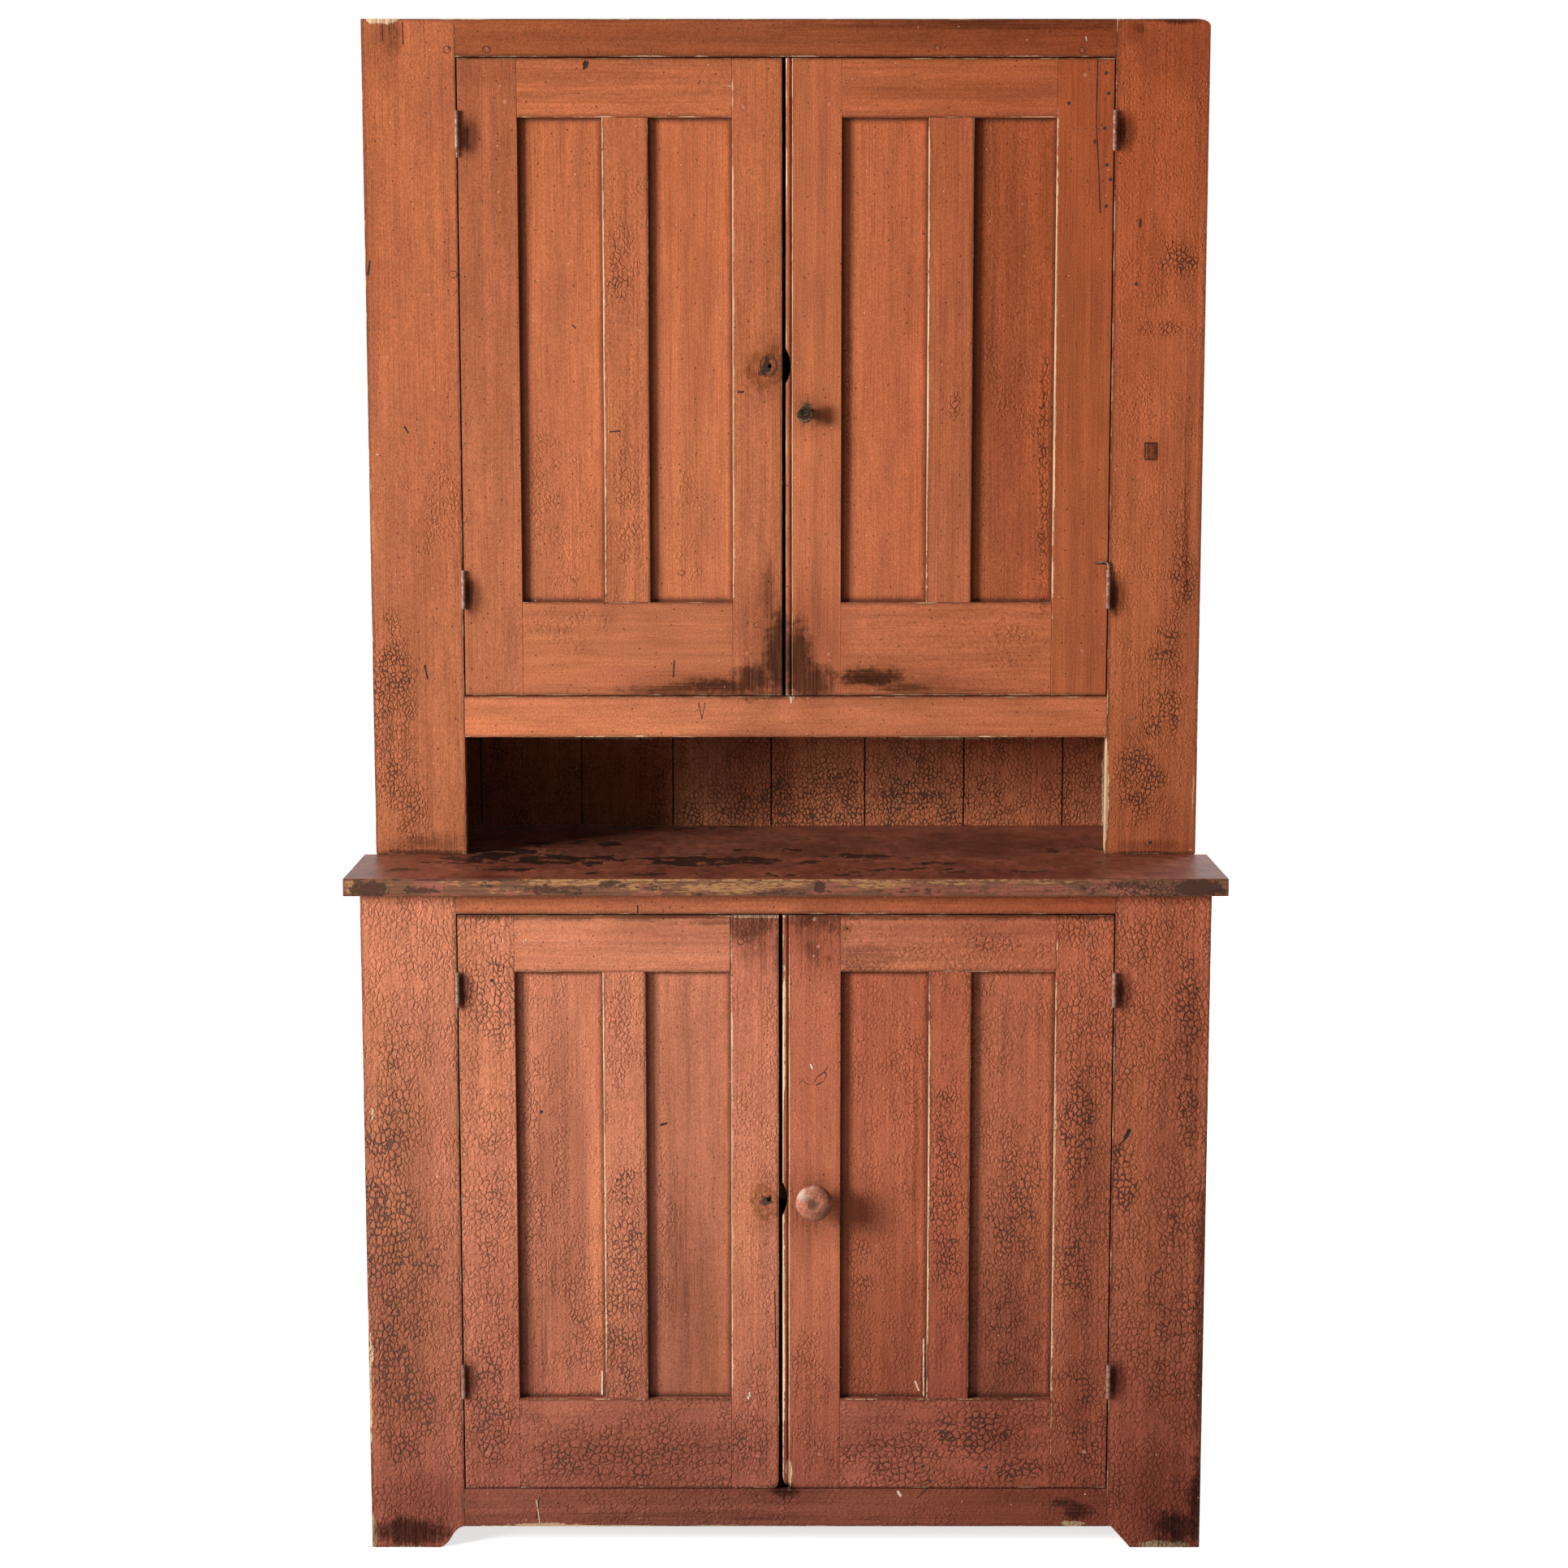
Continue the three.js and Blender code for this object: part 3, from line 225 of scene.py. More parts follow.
COUNTER_TOP_DARK = (
    (700, 1060, 140, 7, 0.9), (600, 1058, 70, 5, 0.8), (960, 1062, 90, 4, 0.7), (1110, 1072, 90, 4, 0.6),
    (870, 1060, 120, 8, 1), (1060, 1056, 60, 5, 0.8), (620, 1052, 100, 9, 0.7), (760, 1076, 110, 4, 0.6),
    (700, 1040, 90, 5, 0.6), (560, 1062, 40, 3, 0.6), (500, 1072, 26, 3, 0.5), (930, 1048, 90, 3, 0.6),
    (1160, 1064, 50, 3, 0.5), (1330, 1062, 60, 3, 0.4), (1230, 1074, 80, 3, 0.5),
    (1010, 1078, 80, 3, 0.6), (820, 1020, 120, 4, 0.5), (1320, 1046, 60, 6, 0.45),
    (1455, 1072, 24, 4, 0.5), (640, 1072, 60, 3, 0.5),
)

# Knots: pixel of the view, half width and half height in pixels
KNOT_PLACES = (
    (946, 452, 46, 54), (946, 1480, 40, 50), (1021, 1181, 8, 9), (1044, 1144, 9, 10),
)

# Cracked places of a side board: height, way back from its front, half width, strength, in metres
SIDE_CRACKS = {
    "upper": ((1.15, 0.05, 0.05, 0.8), (1.42, 0.16, 0.05, 0.6), (1.80, 0.08, 0.04, 0.5)),
    "lower": ((0.55, 0.07, 0.07, 0.8), (0.30, 0.30, 0.08, 0.7), (0.72, 0.33, 0.06, 0.6)),
}

# Outlines of painted-over nail heads, a plug and a healed knot
RING_PLACES = (
    (551, 61, 4.5, 4.5), (600, 61, 5, 4), (916, 131, 4, 4), (559, 338, 5, 4), (948, 450, 10, 12),
    (1334, 62, 4, 4), (1156, 59, 4, 4), (913, 1160, 4, 4), (840, 706, 4, 3), (933, 770, 4, 3),
)

# Scratches, splits and pale drips: pixels of their two ends, half width in pixels
DARK_STROKES = (
    (722, 76, 720, 84, 2), (725, 76, 723, 83, 1.2), (751, 532, 764, 531, 1.1), (831, 814, 830, 834, 0.9),
    (524, 820, 527, 836, 1.2), (861, 866, 865, 886, 0.6), (869, 866, 865, 886, 0.5),
    (456, 322, 454, 338, 1.4), (499, 526, 503, 533, 1.4), (471, 30, 472, 50, 0.7),
    (479, 28, 480, 42, 0.6), (486, 28, 485, 36, 0.5), (496, 28, 497, 54, 0.8), (1353, 73, 1351, 152, 0.8),
    (1351, 152, 1354, 209, 0.9), (1354, 209, 1356, 262, 0.8), (900, 1131, 900, 1198, 0.9),
    (1003, 1334, 1008, 1326, 0.5), (1008, 1326, 1016, 1321, 0.7), (1016, 1321, 1019, 1325, 0.6),
    (1019, 1325, 1014, 1333, 0.5), (1014, 1333, 1006, 1337, 0.7), (1016, 1320, 1020, 1315, 0.5),
    (984, 1336, 990, 1330, 0.4), (990, 1333, 998, 1337, 0.4), (665, 1845, 661, 1871, 0.8),
    (1316, 1852, 1304, 1853, 1.8), (786, 1116, 786, 1124, 1.4), (1148, 1830, 1130, 1846, 0.8),
    (910, 483, 916, 483, 1.4), (1366, 694, 1352, 694, 1.4), (815, 1386, 822, 1384, 1.5),
    (705, 400, 709, 404, 0.9), (1411, 546, 1426, 546, 0.9), (1411, 566, 1426, 566, 0.9),
    (1411, 546, 1411, 566, 0.9), (1426, 546, 1426, 566, 0.9), (1392, 1393, 1387, 1402, 2.4),
    (1388, 1402, 1378, 1412, 1.2), (955, 1590, 956, 1660, 0.7),
)
PALE_STROKES = (
    (975, 860, 975, 866, 1.3), (999, 1312, 1001, 1316, 1.6), (661, 1848, 665, 1876, 0.8),
    (900, 1180, 902, 1176, 1.2), (568, 1473, 568, 1486, 1.6), (1107, 1838, 1110, 1843, 2.2),
    (1338, 45, 1339, 50, 1), (897, 106, 902, 106, 1), (924, 1716, 922, 1723, 1.6),
    (1128, 1702, 1132, 1713, 1.4), (742, 1690, 742, 1718, 1.2), (1138, 1650, 1138, 1720, 1),
)

# Small things in the front, by pixel: pegs, nail heads and holes
PEG_PLACES = (
    (623, 125), (917, 132), (1023, 128), (1338, 92), (624, 800), (921, 805), (1022, 806), (1334, 802),
    (612, 1165), (932, 1168), (1009, 1166), (1340, 1163), (602, 1790), (934, 1794), (1010, 1792),
    (1336, 1789),
)
NAIL_PLACES = (
    (552, 60), (601, 60), (1156, 59), (1334, 62), (799, 1860), (602, 1841), (816, 1122), (1186, 1850),
    (560, 885), (1398, 884),
)
HOLE_PLACES = (
    (1363, 90), (1366, 115), (1361, 158), (1364, 203), (1368, 221), (1363, 254), (1317, 127),
    (1417, 1038), (1215, 1808), (1137, 1807), (1146, 1825), (606, 1208), (667, 1370), (1400, 350),
)
FLECK_PLACES = (
    (1107, 1841), (1337, 1841), (645, 1160), (648, 1158), (925, 1720), (1003, 1178), (588, 1480),
    (1130, 1706), (465, 560), (462, 1037), (1467, 1047), (1444, 1078),
)


def seen(u, v, depth):
    """The point of the upright plane y = depth that stands at a pixel of the view."""
    right = (u - VIEW_CENTRE) / LENS_PIXELS
    down = (v - VIEW_CENTRE) / LENS_PIXELS
    forward = math.cos(EYE_DROP) - down * math.sin(EYE_DROP)
    rise = -math.sin(EYE_DROP) - down * math.cos(EYE_DROP)
    reach = (depth - EYE.y) / forward
    return Vector((EYE.x + right * reach, depth, EYE.z + rise * reach))


def seen_level(u, v, level):
    """The point of the level plane z = level that stands at a pixel of the view."""
    near = seen(u, v, LOWER_FRONT)
    return EYE + (near - EYE) * ((level - EYE.z) / (near.z - EYE.z))


def front_at(v):
    """Front plane of the case or doors at a pixel row."""
    return UPPER_FRONT if v < COUNTER_ROW else LOWER_FRONT


# Node trees

class Graph:
    """Short ways to put nodes in a tree."""

    def __init__(self, tree):
        self.tree = tree

    def feed(self, socket, value):
        if isinstance(value, bpy.types.NodeSocket):
            self.tree.links.new(value, socket)
        elif socket.type == "RGBA":
            socket.default_value = (*value[:3], 1.0)
        else:
            socket.default_value = value

    def node(self, kind, inputs=None, **settings):
        made = self.tree.nodes.new(kind)
        for name, value in settings.items():
            setattr(made, name, value)
        for name, value in (inputs or {}).items():
            self.feed(made.inputs[name], value)
        return made

    def math(self, operation, *values):
        made = self.node("ShaderNodeMath", operation=operation)
        for socket, value in zip(made.inputs, values):
            self.feed(socket, value)
        return made.outputs[0]

    def times(self, first, second):
        return self.math("MULTIPLY", first, second)

    def scaled(self, value, factor, added):
        return self.math("MULTIPLY_ADD", value, factor, added)

    def most(self, first, second):
        return self.math("MAXIMUM", first, second)

    def vector(self, operation, *values):
        made = self.node("ShaderNodeVectorMath", operation=operation)
        for socket, value in zip(made.inputs, values):
            self.feed(socket, value)
        return made.outputs["Value" if operation == "LENGTH" else "Vector"]

    def ease(self, value, start, end, low=0.0, high=1.0):
        made = self.node("ShaderNodeMapRange", interpolation_type="SMOOTHSTEP", inputs={
            "Value": value, "From Min": start, "From Max": end, "To Min": low, "To Max": high,
        })
        return made.outputs["Result"]

    def vary(self, noise, low, high):
        """Spreads the middle of a noise over a range."""
        return self.ease(noise, 0.3, 0.7, low, high)

    def blend(self, share, first, second):
        made = self.node("ShaderNodeMix", data_type="RGBA")
        for place, value in zip((0, 6, 7), (share, first, second)):
            self.feed(made.inputs[place], value)
        return made.outputs[2]

    def between(self, share, first, second):
        made = self.node("ShaderNodeMix", data_type="FLOAT")
        for place, value in zip((0, 2, 3), (share, first, second)):
            self.feed(made.inputs[place], value)
        return made.outputs[0]

    def shade(self, colour, factor):
        made = self.node("ShaderNodeVectorMath", operation="SCALE")
        self.feed(made.inputs[0], colour)
        self.feed(made.inputs["Scale"], factor)
        return made.outputs["Vector"]

    def tinted(self, colour, tint):
        made = self.node("ShaderNodeVectorMath", operation="MULTIPLY")
        for socket, value in zip(made.inputs, (colour, tint)):
            self.feed(socket, value)
        return made.outputs["Vector"]

    def noise(self, vector, scale, detail, roughness=0.55, output="Fac"):
        made = self.node("ShaderNodeTexNoise", inputs={
            "Vector": vector, "Scale": scale, "Detail": detail, "Roughness": roughness,
        })
        return made.outputs[output]

    def cells(self, vector, scale=1.0, feature="F1"):
        return self.node("ShaderNodeTexVoronoi", voronoi_dimensions="2D", feature=feature, inputs={
            "Vector": vector, "Scale": scale, "Randomness": 1.0,
        }).outputs

    def group(self, name, **inputs):
        made = self.node("ShaderNodeGroup", node_tree=bpy.data.node_groups[name])
        for label, value in inputs.items():
            self.feed(made.inputs[label], value)
        return made.outputs

    def combine(self, x, y, z):
        return self.node("ShaderNodeCombineXYZ", inputs={"X": x, "Y": y, "Z": z}).outputs[0]

    def parts(self, vector):
        return self.node("ShaderNodeSeparateXYZ", inputs={"Vector": vector}).outputs


SOCKETS = {"v": "NodeSocketVector", "f": "NodeSocketFloat", "c": "NodeSocketColor"}


def new_group(name, inputs, outputs):
    """An empty shader group with named sockets, its graph, what it is given and what it puts out."""
    tree = bpy.data.node_groups.new(name, "ShaderNodeTree")
    for label, kind in inputs.items():
        tree.interface.new_socket(name=label, in_out="INPUT", socket_type=SOCKETS[kind])
    for label, kind in outputs.items():
        tree.interface.new_socket(name=label, in_out="OUTPUT", socket_type=SOCKETS[kind])
    graph = Graph(tree)
    given = graph.node("NodeGroupInput").outputs
    result = graph.node("NodeGroupOutput").inputs
    return graph, given, result


def make_grain_group():
    """Growth and brush lines that run along a board."""
    graph, given, result = new_group(
        "board_grain", {"Position": "v", "Stretch": "v", "Seed": "f"},
        {"Broad": "f", "Fine": "f", "Figure": "f"},
    )
    shift = graph.combine(given["Seed"], graph.times(given["Seed"], 1.7), given["Seed"])
    place = graph.vector("MULTIPLY_ADD", given["Position"], given["Stretch"], shift)
    broad = graph.noise(place, 0.16, 3.0)
    graph.feed(result["Broad"], broad)
    graph.feed(result["Fine"], graph.noise(place, 1.0, 6.0, 0.7))
    lines = graph.math("SINE", graph.times(broad, 46.0))
    graph.feed(result["Figure"], graph.scaled(lines, 0.5, 0.5))


def make_flat_group():
    """The position laid flat, so that one pattern runs over a board's faces and edges."""
    graph, given, result = new_group("flat_place", {"Position": "v", "Seed": "f"}, {"Place": "v"})
    x, y, z = graph.parts(given["Position"])
    across = graph.math("ADD", graph.math("ADD", x, y), given["Seed"])
    up = graph.scaled(y, 0.6, z)
    graph.feed(result["Place"], graph.combine(across, up, 0.0))


def make_crackle_group():
    """Alligatored paint: broken thin cracks that widen with the strength until islands are lost."""
    graph, given, result = new_group(
        "crackle", {"Position": "v", "Cell": "v", "Seed": "f", "Strength": "f"},
        {"Crack": "f", "Dome": "f", "Gap": "f", "Open": "f"},
    )
    flat = graph.group("flat_place", Position=given["Position"], Seed=given["Seed"])["Place"]
    place = graph.vector("DIVIDE", flat, given["Cell"])
    warp = graph.noise(place, 1.1, 3.0, 0.6, "Color")
    bend = graph.vector("SUBTRACT", warp, (0.5, 0.5, 0.5))
    place = graph.vector("MULTIPLY_ADD", bend, (1.3, 1.3, 0.0), place)
    near = graph.noise(place, 0.33, 4.0, 0.7)
    wide = graph.noise(place, 0.07, 2.0)
    gate = graph.times(graph.ease(near, 0.34, 0.62, 0.30, 1.25), graph.ease(wide, 0.34, 0.60, 0.55, 1.10))
    opened = graph.times(given["Strength"], gate)
    edges = graph.cells(place, feature="DISTANCE_TO_EDGE")["Distance"]
    chance = graph.parts(graph.cells(place)["Color"])[0]
    lost = graph.math("LESS_THAN", chance, graph.ease(opened, 0.80, 1.30, 0.0, 0.06))
    uneven = graph.ease(graph.noise(place, 1.2, 2.0), 0.35, 0.65, 0.40, 1.7)
    width = graph.times(graph.ease(opened, 0.20, 1.15, 0.028, 0.115), uneven)
    inner = graph.times(width, 0.4)
    line = graph.ease(edges, inner, graph.math("ADD", width, 0.04), 1.0, 0.0)
    broken = graph.ease(graph.noise(place, 1.9, 2.0), 0.38, 0.56, 0.0, 1.0)
    broken = graph.most(broken, graph.ease(opened, 0.25, 0.60))
    dark = graph.times(graph.ease(opened, 0.03, 0.90, 0.0, 1.0), broken)
    gap = graph.times(lost, graph.ease(edges, 0.0, 0.05))
    graph.feed(result["Crack"], graph.times(line, dark))
    graph.feed(result["Gap"], gap)
    graph.feed(result["Open"], graph.ease(opened, 0.35, 0.95))
    dome = graph.times(graph.ease(edges, 0.0, 0.30), graph.ease(opened, 0.04, 0.40))
    graph.feed(result["Dome"], graph.times(dome, graph.math("SUBTRACT", 1.0, lost)))


def new_mask_group(name, inputs):
    """A group for one mark; finish_mask adds it to the mask of the marks before it."""
    shared = {"Position": "v", "Ragged": "f", "Before": "f"}
    graph, given, result = new_group(name, shared | inputs, {"Mask": "f"})

    def finish_mask(mask):
        graph.feed(result["Mask"], graph.most(given["Before"], mask))

    return graph, given, finish_mask


def oval_reach(graph, given):
    """How far a point is from an oval's centre, as a share of the oval's size."""
    away = graph.vector("SUBTRACT", given["Position"], given["Centre"])
    return graph.vector("LENGTH", graph.vector("DIVIDE", away, given["Reach"]))


def make_patch_group():
    """A worn, cracked or dirty place with a ragged border."""
    graph, given, finish_mask = new_mask_group("patch", {"Centre": "v", "Reach": "v", "Strength": "f"})
    rough = graph.scaled(given["Ragged"], 2.6, -1.3)
    inside = graph.ease(graph.math("ADD", oval_reach(graph, given), rough), 0.35, 1.2, 1.0, 0.0)
    finish_mask(graph.times(inside, given["Strength"]))


def make_knot_group():
    """Brown growth rings about a knot, fading outwards."""
    graph, given, finish_mask = new_mask_group("knot", {"Centre": "v", "Reach": "v"})
    rough = graph.scaled(given["Ragged"], 1.5, -0.75)
    reach = graph.math("ADD", oval_reach(graph, given), rough)
    rings = graph.math("SINE", graph.times(reach, 19.0))
    rings = graph.ease(rings, -0.4, 0.9, 0.20, 0.60)
    fade = graph.ease(reach, 0.20, 0.90, 1.0, 0.0)
    core = graph.ease(reach, 0.14, 0.25, 1.0, 0.0)
    finish_mask(graph.most(core, graph.times(rings, fade)))


def make_stroke_group():
    """A scratch, a split or a drip: a line between two points of a front."""
    graph, given, finish_mask = new_mask_group(
        "stroke", {"Start": "v", "Run": "v", "Inverse": "v", "Width": "f"},
    )
    away = graph.vector("SUBTRACT", given["Position"], given["Start"])
    along = graph.node("ShaderNodeVectorMath", operation="DOT_PRODUCT", inputs={
        0: away, 1: given["Inverse"],
    }).outputs["Value"]
    along = graph.math("MINIMUM", graph.most(along, 0.0), 1.0)
    nearest = graph.shade(given["Run"], along)
    x, _, z = graph.parts(graph.vector("SUBTRACT", away, nearest))
    apart = graph.vector("LENGTH", graph.combine(x, 0.0, z))
    width = graph.times(given["Width"], graph.vary(given["Ragged"], 0.5, 1.5))
    finish_mask(graph.ease(apart, graph.times(width, 0.5), width, 1.0, 0.0))


def make_ring_group():
    """A thin dark oval: the outline of a nail head, a plug or a knot."""
    graph, given, finish_mask = new_mask_group("ring", {"Centre": "v", "Reach": "v"})
    off = graph.math("ABSOLUTE", graph.math("SUBTRACT", oval_reach(graph, given), 1.0))
    width = graph.ease(given["Ragged"], 0.38, 0.62, 0.08, 0.30)
    mask = graph.ease(off, graph.times(width, 0.4), width, 0.65, 0.0)
    finish_mask(graph.times(mask, graph.ease(given["Ragged"], 0.36, 0.52, 0.15, 1.0)))


def make_edge_group():
    """How far a point of a board is from its nearest arris and from the nearest limit."""
    graph, given, result = new_group(
        "edge_distance", {"Position": "v", "Low": "v", "High": "v"},
        {"Arris": "f", "Nearest": "f", "Inside": "f"},
    )
    below = graph.vector("SUBTRACT", given["Position"], given["Low"])
    above = graph.vector("SUBTRACT", given["High"], given["Position"])
    x, y, z = graph.parts(graph.vector("MINIMUM", below, above))
    least = graph.math("MINIMUM", x, y)
    most = graph.most(x, y)
    graph.feed(result["Arris"], graph.most(least, graph.math("MINIMUM", most, z)))
    nearest = graph.math("MINIMUM", least, z)
    graph.feed(result["Nearest"], nearest)
    graph.feed(result["Inside"], graph.math("GREATER_THAN", nearest, 0.0))


def make_speck_group():
    """Small pits and pale flecks, few and scattered."""
    graph, given, result = new_group(
        "specks", {"Position": "v", "Seed": "f"}, {"Pit": "f", "Pale": "f", "Scuff": "f"},
    )
    flat = graph.group("flat_place", Position=given["Position"], Seed=given["Seed"])["Place"]
    for label, scale, radius, chance in (("Pit", 42.0, 0.055, 0.7), ("Pale", 19.0, 0.018, 0.72)):
        dots = graph.cells(flat, scale)
        spot = graph.ease(dots["Distance"], radius * 0.5, radius, 1.0, 0.0)
        red = graph.parts(dots["Color"])[0]
        picked = graph.math("GREATER_THAN", red, chance)
        graph.feed(result[label], graph.times(spot, picked))
    dashes = graph.noise(graph.tinted(flat, (300.0, 70.0, 1.0)), 1.0, 3.0, 0.6)
    gate = graph.ease(graph.noise(flat, 7.0, 3.0), 0.40, 0.62)
    graph.feed(result["Scuff"], graph.times(graph.ease(dashes, 0.62, 0.70), gate))


def make_paint_group():
    """Old milk paint over pine: uneven colour, brush lines, cracks, grime with painted shade, rubbed
    arrises.
    """
    graph, given, result = new_group(
        "aged_paint",
        {
            "Position": "v", "Stretch": "v", "Seed": "f", "Cell": "v", "Ragged": "f",
            "Paint": "c", "Deep": "c", "Raw": "c", "Crack": "c", "Grime": "c",
            "Arris": "f", "Corner": "f", "Crackle": "f", "Dirt": "f", "Bare": "f", "Knot": "f",
            "Brush": "f",
        },
        {"Color": "c", "Roughness": "f", "Height": "f"},
    )
    place = given["Position"]
    shift = graph.combine(given["Seed"], given["Seed"], given["Seed"])
    own = graph.vector("ADD", place, shift)
    grain = graph.group("board_grain", Position=place, Stretch=given["Stretch"], Seed=given["Seed"])
    drawn_out = graph.vector("MULTIPLY_ADD", given["Stretch"], (0.0016,) * 3, (0.26,) * 3)
    along = graph.tinted(own, drawn_out)
    cloud = graph.noise(along, 3.6, 4.0)
    mottle = graph.noise(along, 34.0, 6.0, 0.65)
    grit = graph.noise(own, 420.0, 3.0, 0.6)
    fine = grain["Fine"]

    tone = graph.vary(cloud, 0.89, 1.10)
    tone = graph.times(tone, graph.vary(mottle, 0.88, 1.12))
    tone = graph.times(tone, graph.vary(grit, 0.78, 1.22))
    tone = graph.times(tone, graph.vary(grain["Broad"], 0.90, 1.10))
    colour = graph.blend(graph.ease(cloud, 0.45, 0.7, 0.0, 0.5), given["Paint"], given["Deep"])
    ochre = graph.noise(along, 13.0, 5.0, 0.65)
    colour = graph.blend(graph.ease(ochre, 0.48, 0.66, 0.0, 0.5), colour,
                         graph.tinted(colour, (1.02, 1.06, 0.88)))
    colour = graph.shade(colour, tone)
    brush = graph.times(graph.ease(fine, 0.34, 0.50, 0.42, 0.0), given["Brush"])
    colour = graph.blend(brush, colour, graph.shade(given["Deep"], 0.72))
    worn_thin = graph.times(graph.ease(fine, 0.52, 0.68, 0.0, 0.26), given["Brush"])
    colour = graph.blend(worn_thin, colour, graph.shade(given["Paint"], 1.28))

    cracks = graph.group(
        "crackle", Position=place, Cell=given["Cell"], Seed=given["Seed"], Strength=given["Crackle"],
    )
    open_crack = graph.most(cracks["Crack"], cracks["Gap"])
    colour = graph.blend(graph.times(cracks["Dome"], 0.18), colour, graph.shade(given["Paint"], 1.14))
    shadow = graph.tinted(given["Paint"], (0.28, 0.235, 0.22))
    shadow = graph.blend(cracks["Open"], shadow, given["Crack"])
    colour = graph.blend(graph.times(open_crack, 0.80), colour, shadow)

    specks = graph.group("specks", Position=place, Seed=given["Seed"])
    pits = graph.most(graph.times(specks["Pit"], 0.75), graph.times(specks["Scuff"], 0.55))
    colour = graph.blend(pits, colour, given["Crack"])

    rub = graph.noise(own, 21.0, 5.0, 0.7)
    band = graph.ease(rub, 0.45, 0.70, 0.0006, 0.0022)
    rubbed = graph.ease(given["Arris"], graph.times(band, 0.5), band, 1.0, 0.0)
    rubbed = graph.times(rubbed, graph.ease(rub, 0.44, 0.62, 0.0, 0.75))
    bare = graph.math("ADD", given["Bare"], graph.scaled(fine, 1.3, -0.65))
    bare = graph.ease(bare, 0.40, 0.60)
    bare = graph.times(bare, graph.ease(given["Bare"], 0.02, 0.1))
    wood = graph.shade(given["Raw"], graph.vary(fine, 0.5, 1.2))
    stripped = graph.most(rubbed, bare)
    colour = graph.blend(stripped, colour, wood)
    halo = graph.ease(given["Knot"], 0.02, 0.30, 0.0, 0.7)
    colour = graph.blend(halo, colour, graph.tinted(colour, (0.94, 0.96, 0.72)))
    stain = graph.tinted(colour, (0.30, 0.22, 0.18))
    colour = graph.blend(given["Knot"], colour, stain)
    colour = graph.blend(graph.ease(given["Knot"], 0.72, 0.95), colour, given["Crack"])

    # Darker into the corners of a panel's recess: dirt and painted shade
    corner_dirt_and_shade = graph.ease(given["Corner"], 0.0, graph.scaled(given["Ragged"], 0.016, 0.002), 0.80, 0.0)
    edge_dirt = graph.ease(given["Arris"], 0.0, graph.scaled(rub, 0.010, 0.0005), 0.55, 0.0)
    edge_dirt = graph.times(edge_dirt, graph.math("SUBTRACT", 1.0, stripped))
    # The dirt mask: grime, and painted shadows and shade where its marks say so
    streak = graph.ease(fine, 0.36, 0.64, 0.0, 0.34)
    dirt_and_shadow = graph.math("SUBTRACT", graph.times(given["Dirt"], 1.25), streak)
    dirt_and_shadow = graph.ease(dirt_and_shadow, -0.15, 1.25)
    dirt_and_shadow = graph.times(dirt_and_shadow, graph.ease(given["Dirt"], 0.0, 0.30))
    colour = graph.blend(dirt_and_shadow, colour, graph.tinted(colour, (0.15, 0.145, 0.14)))
    colour = graph.blend(graph.most(corner_dirt_and_shade, edge_dirt), colour, given["Grime"])
    colour = graph.blend(specks["Pale"], colour, (0.80, 0.52, 0.38))
    graph.feed(result["Color"], colour)

    rough = graph.vary(mottle, 0.56, 0.70)
    rough = graph.between(graph.most(open_crack, stripped), rough, 0.85)
    graph.feed(result["Roughness"], rough)

    sunk = graph.math("SUBTRACT", cracks["Dome"], graph.times(open_crack, 0.8))
    height = graph.times(sunk, 0.78)
    height = graph.scaled(fine, graph.times(given["Brush"], 0.55), height)
    height = graph.scaled(mottle, 0.16, height)
    height = graph.scaled(grit, 0.16, height)
    height = graph.scaled(specks["Pit"], -0.6, height)
    height = graph.scaled(stripped, -0.35, height)
    graph.feed(result["Height"], height)


def make_pine_group():
    """Bare old pine with a few knots, planed by hand."""
    graph, given, result = new_group(
        "bare_pine", {"Position": "v", "Stretch": "v", "Seed": "f", "Wood": "c"},
        {"Color": "c", "Roughness": "f", "Height": "f"},
    )
    flat = graph.group("flat_place", Position=given["Position"], Seed=given["Seed"])["Place"]
    cells = graph.cells(graph.tinted(flat, (1.25, 0.8, 1.0)), 4.6)
    ragged = graph.noise(flat, 60.0, 4.0, 0.6)
    reach = graph.scaled(ragged, 0.05, cells["Distance"])
    picked = graph.math("GREATER_THAN", graph.parts(cells["Color"])[0], 0.62)
    heart = graph.times(graph.ease(reach, 0.07, 0.10, 1.0, 0.0), picked)
    halo = graph.ease(graph.math("SINE", graph.times(reach, 150.0)), -0.2, 0.9)
    halo = graph.times(halo, graph.ease(reach, 0.08, 0.19, 0.7, 0.0))
    halo = graph.times(halo, picked)
    grain = graph.group(
        "board_grain", Position=given["Position"], Stretch=given["Stretch"], Seed=given["Seed"],
    )
    cloud = graph.noise(given["Position"], 5.0, 4.0)
    late = graph.math("POWER", grain["Figure"], 3.0)
    colour = graph.shade(given["Wood"], graph.vary(cloud, 0.72, 1.12))
    colour = graph.blend(graph.times(late, 0.55), colour, graph.tinted(colour, (0.62, 0.46, 0.34)))
    colour = graph.shade(colour, graph.vary(grain["Fine"], 0.8, 1.12))
    colour = graph.blend(graph.most(heart, halo), colour, graph.tinted(given["Wood"], (0.30, 0.20, 0.14)))
    graph.feed(result["Color"], colour)
    graph.feed(result["Roughness"], graph.vary(grain["Fine"], 0.62, 0.8))
    height = graph.scaled(late, 0.3, graph.times(grain["Fine"], 0.5))
    graph.feed(result["Height"], height)


def make_groups():
    for make in (make_grain_group, make_flat_group, make_crackle_group, make_patch_group,
                 make_knot_group, make_stroke_group, make_ring_group, make_edge_group,
                 make_speck_group, make_paint_group, make_pine_group):
        make()


# Materials

UPRIGHT = (480.0, 480.0, 8.0)
LEVEL = (8.0, 480.0, 480.0)
PAINT_DEPTH = 0.0014


def shades():
    return bpy.context.scene.cupboard_colours


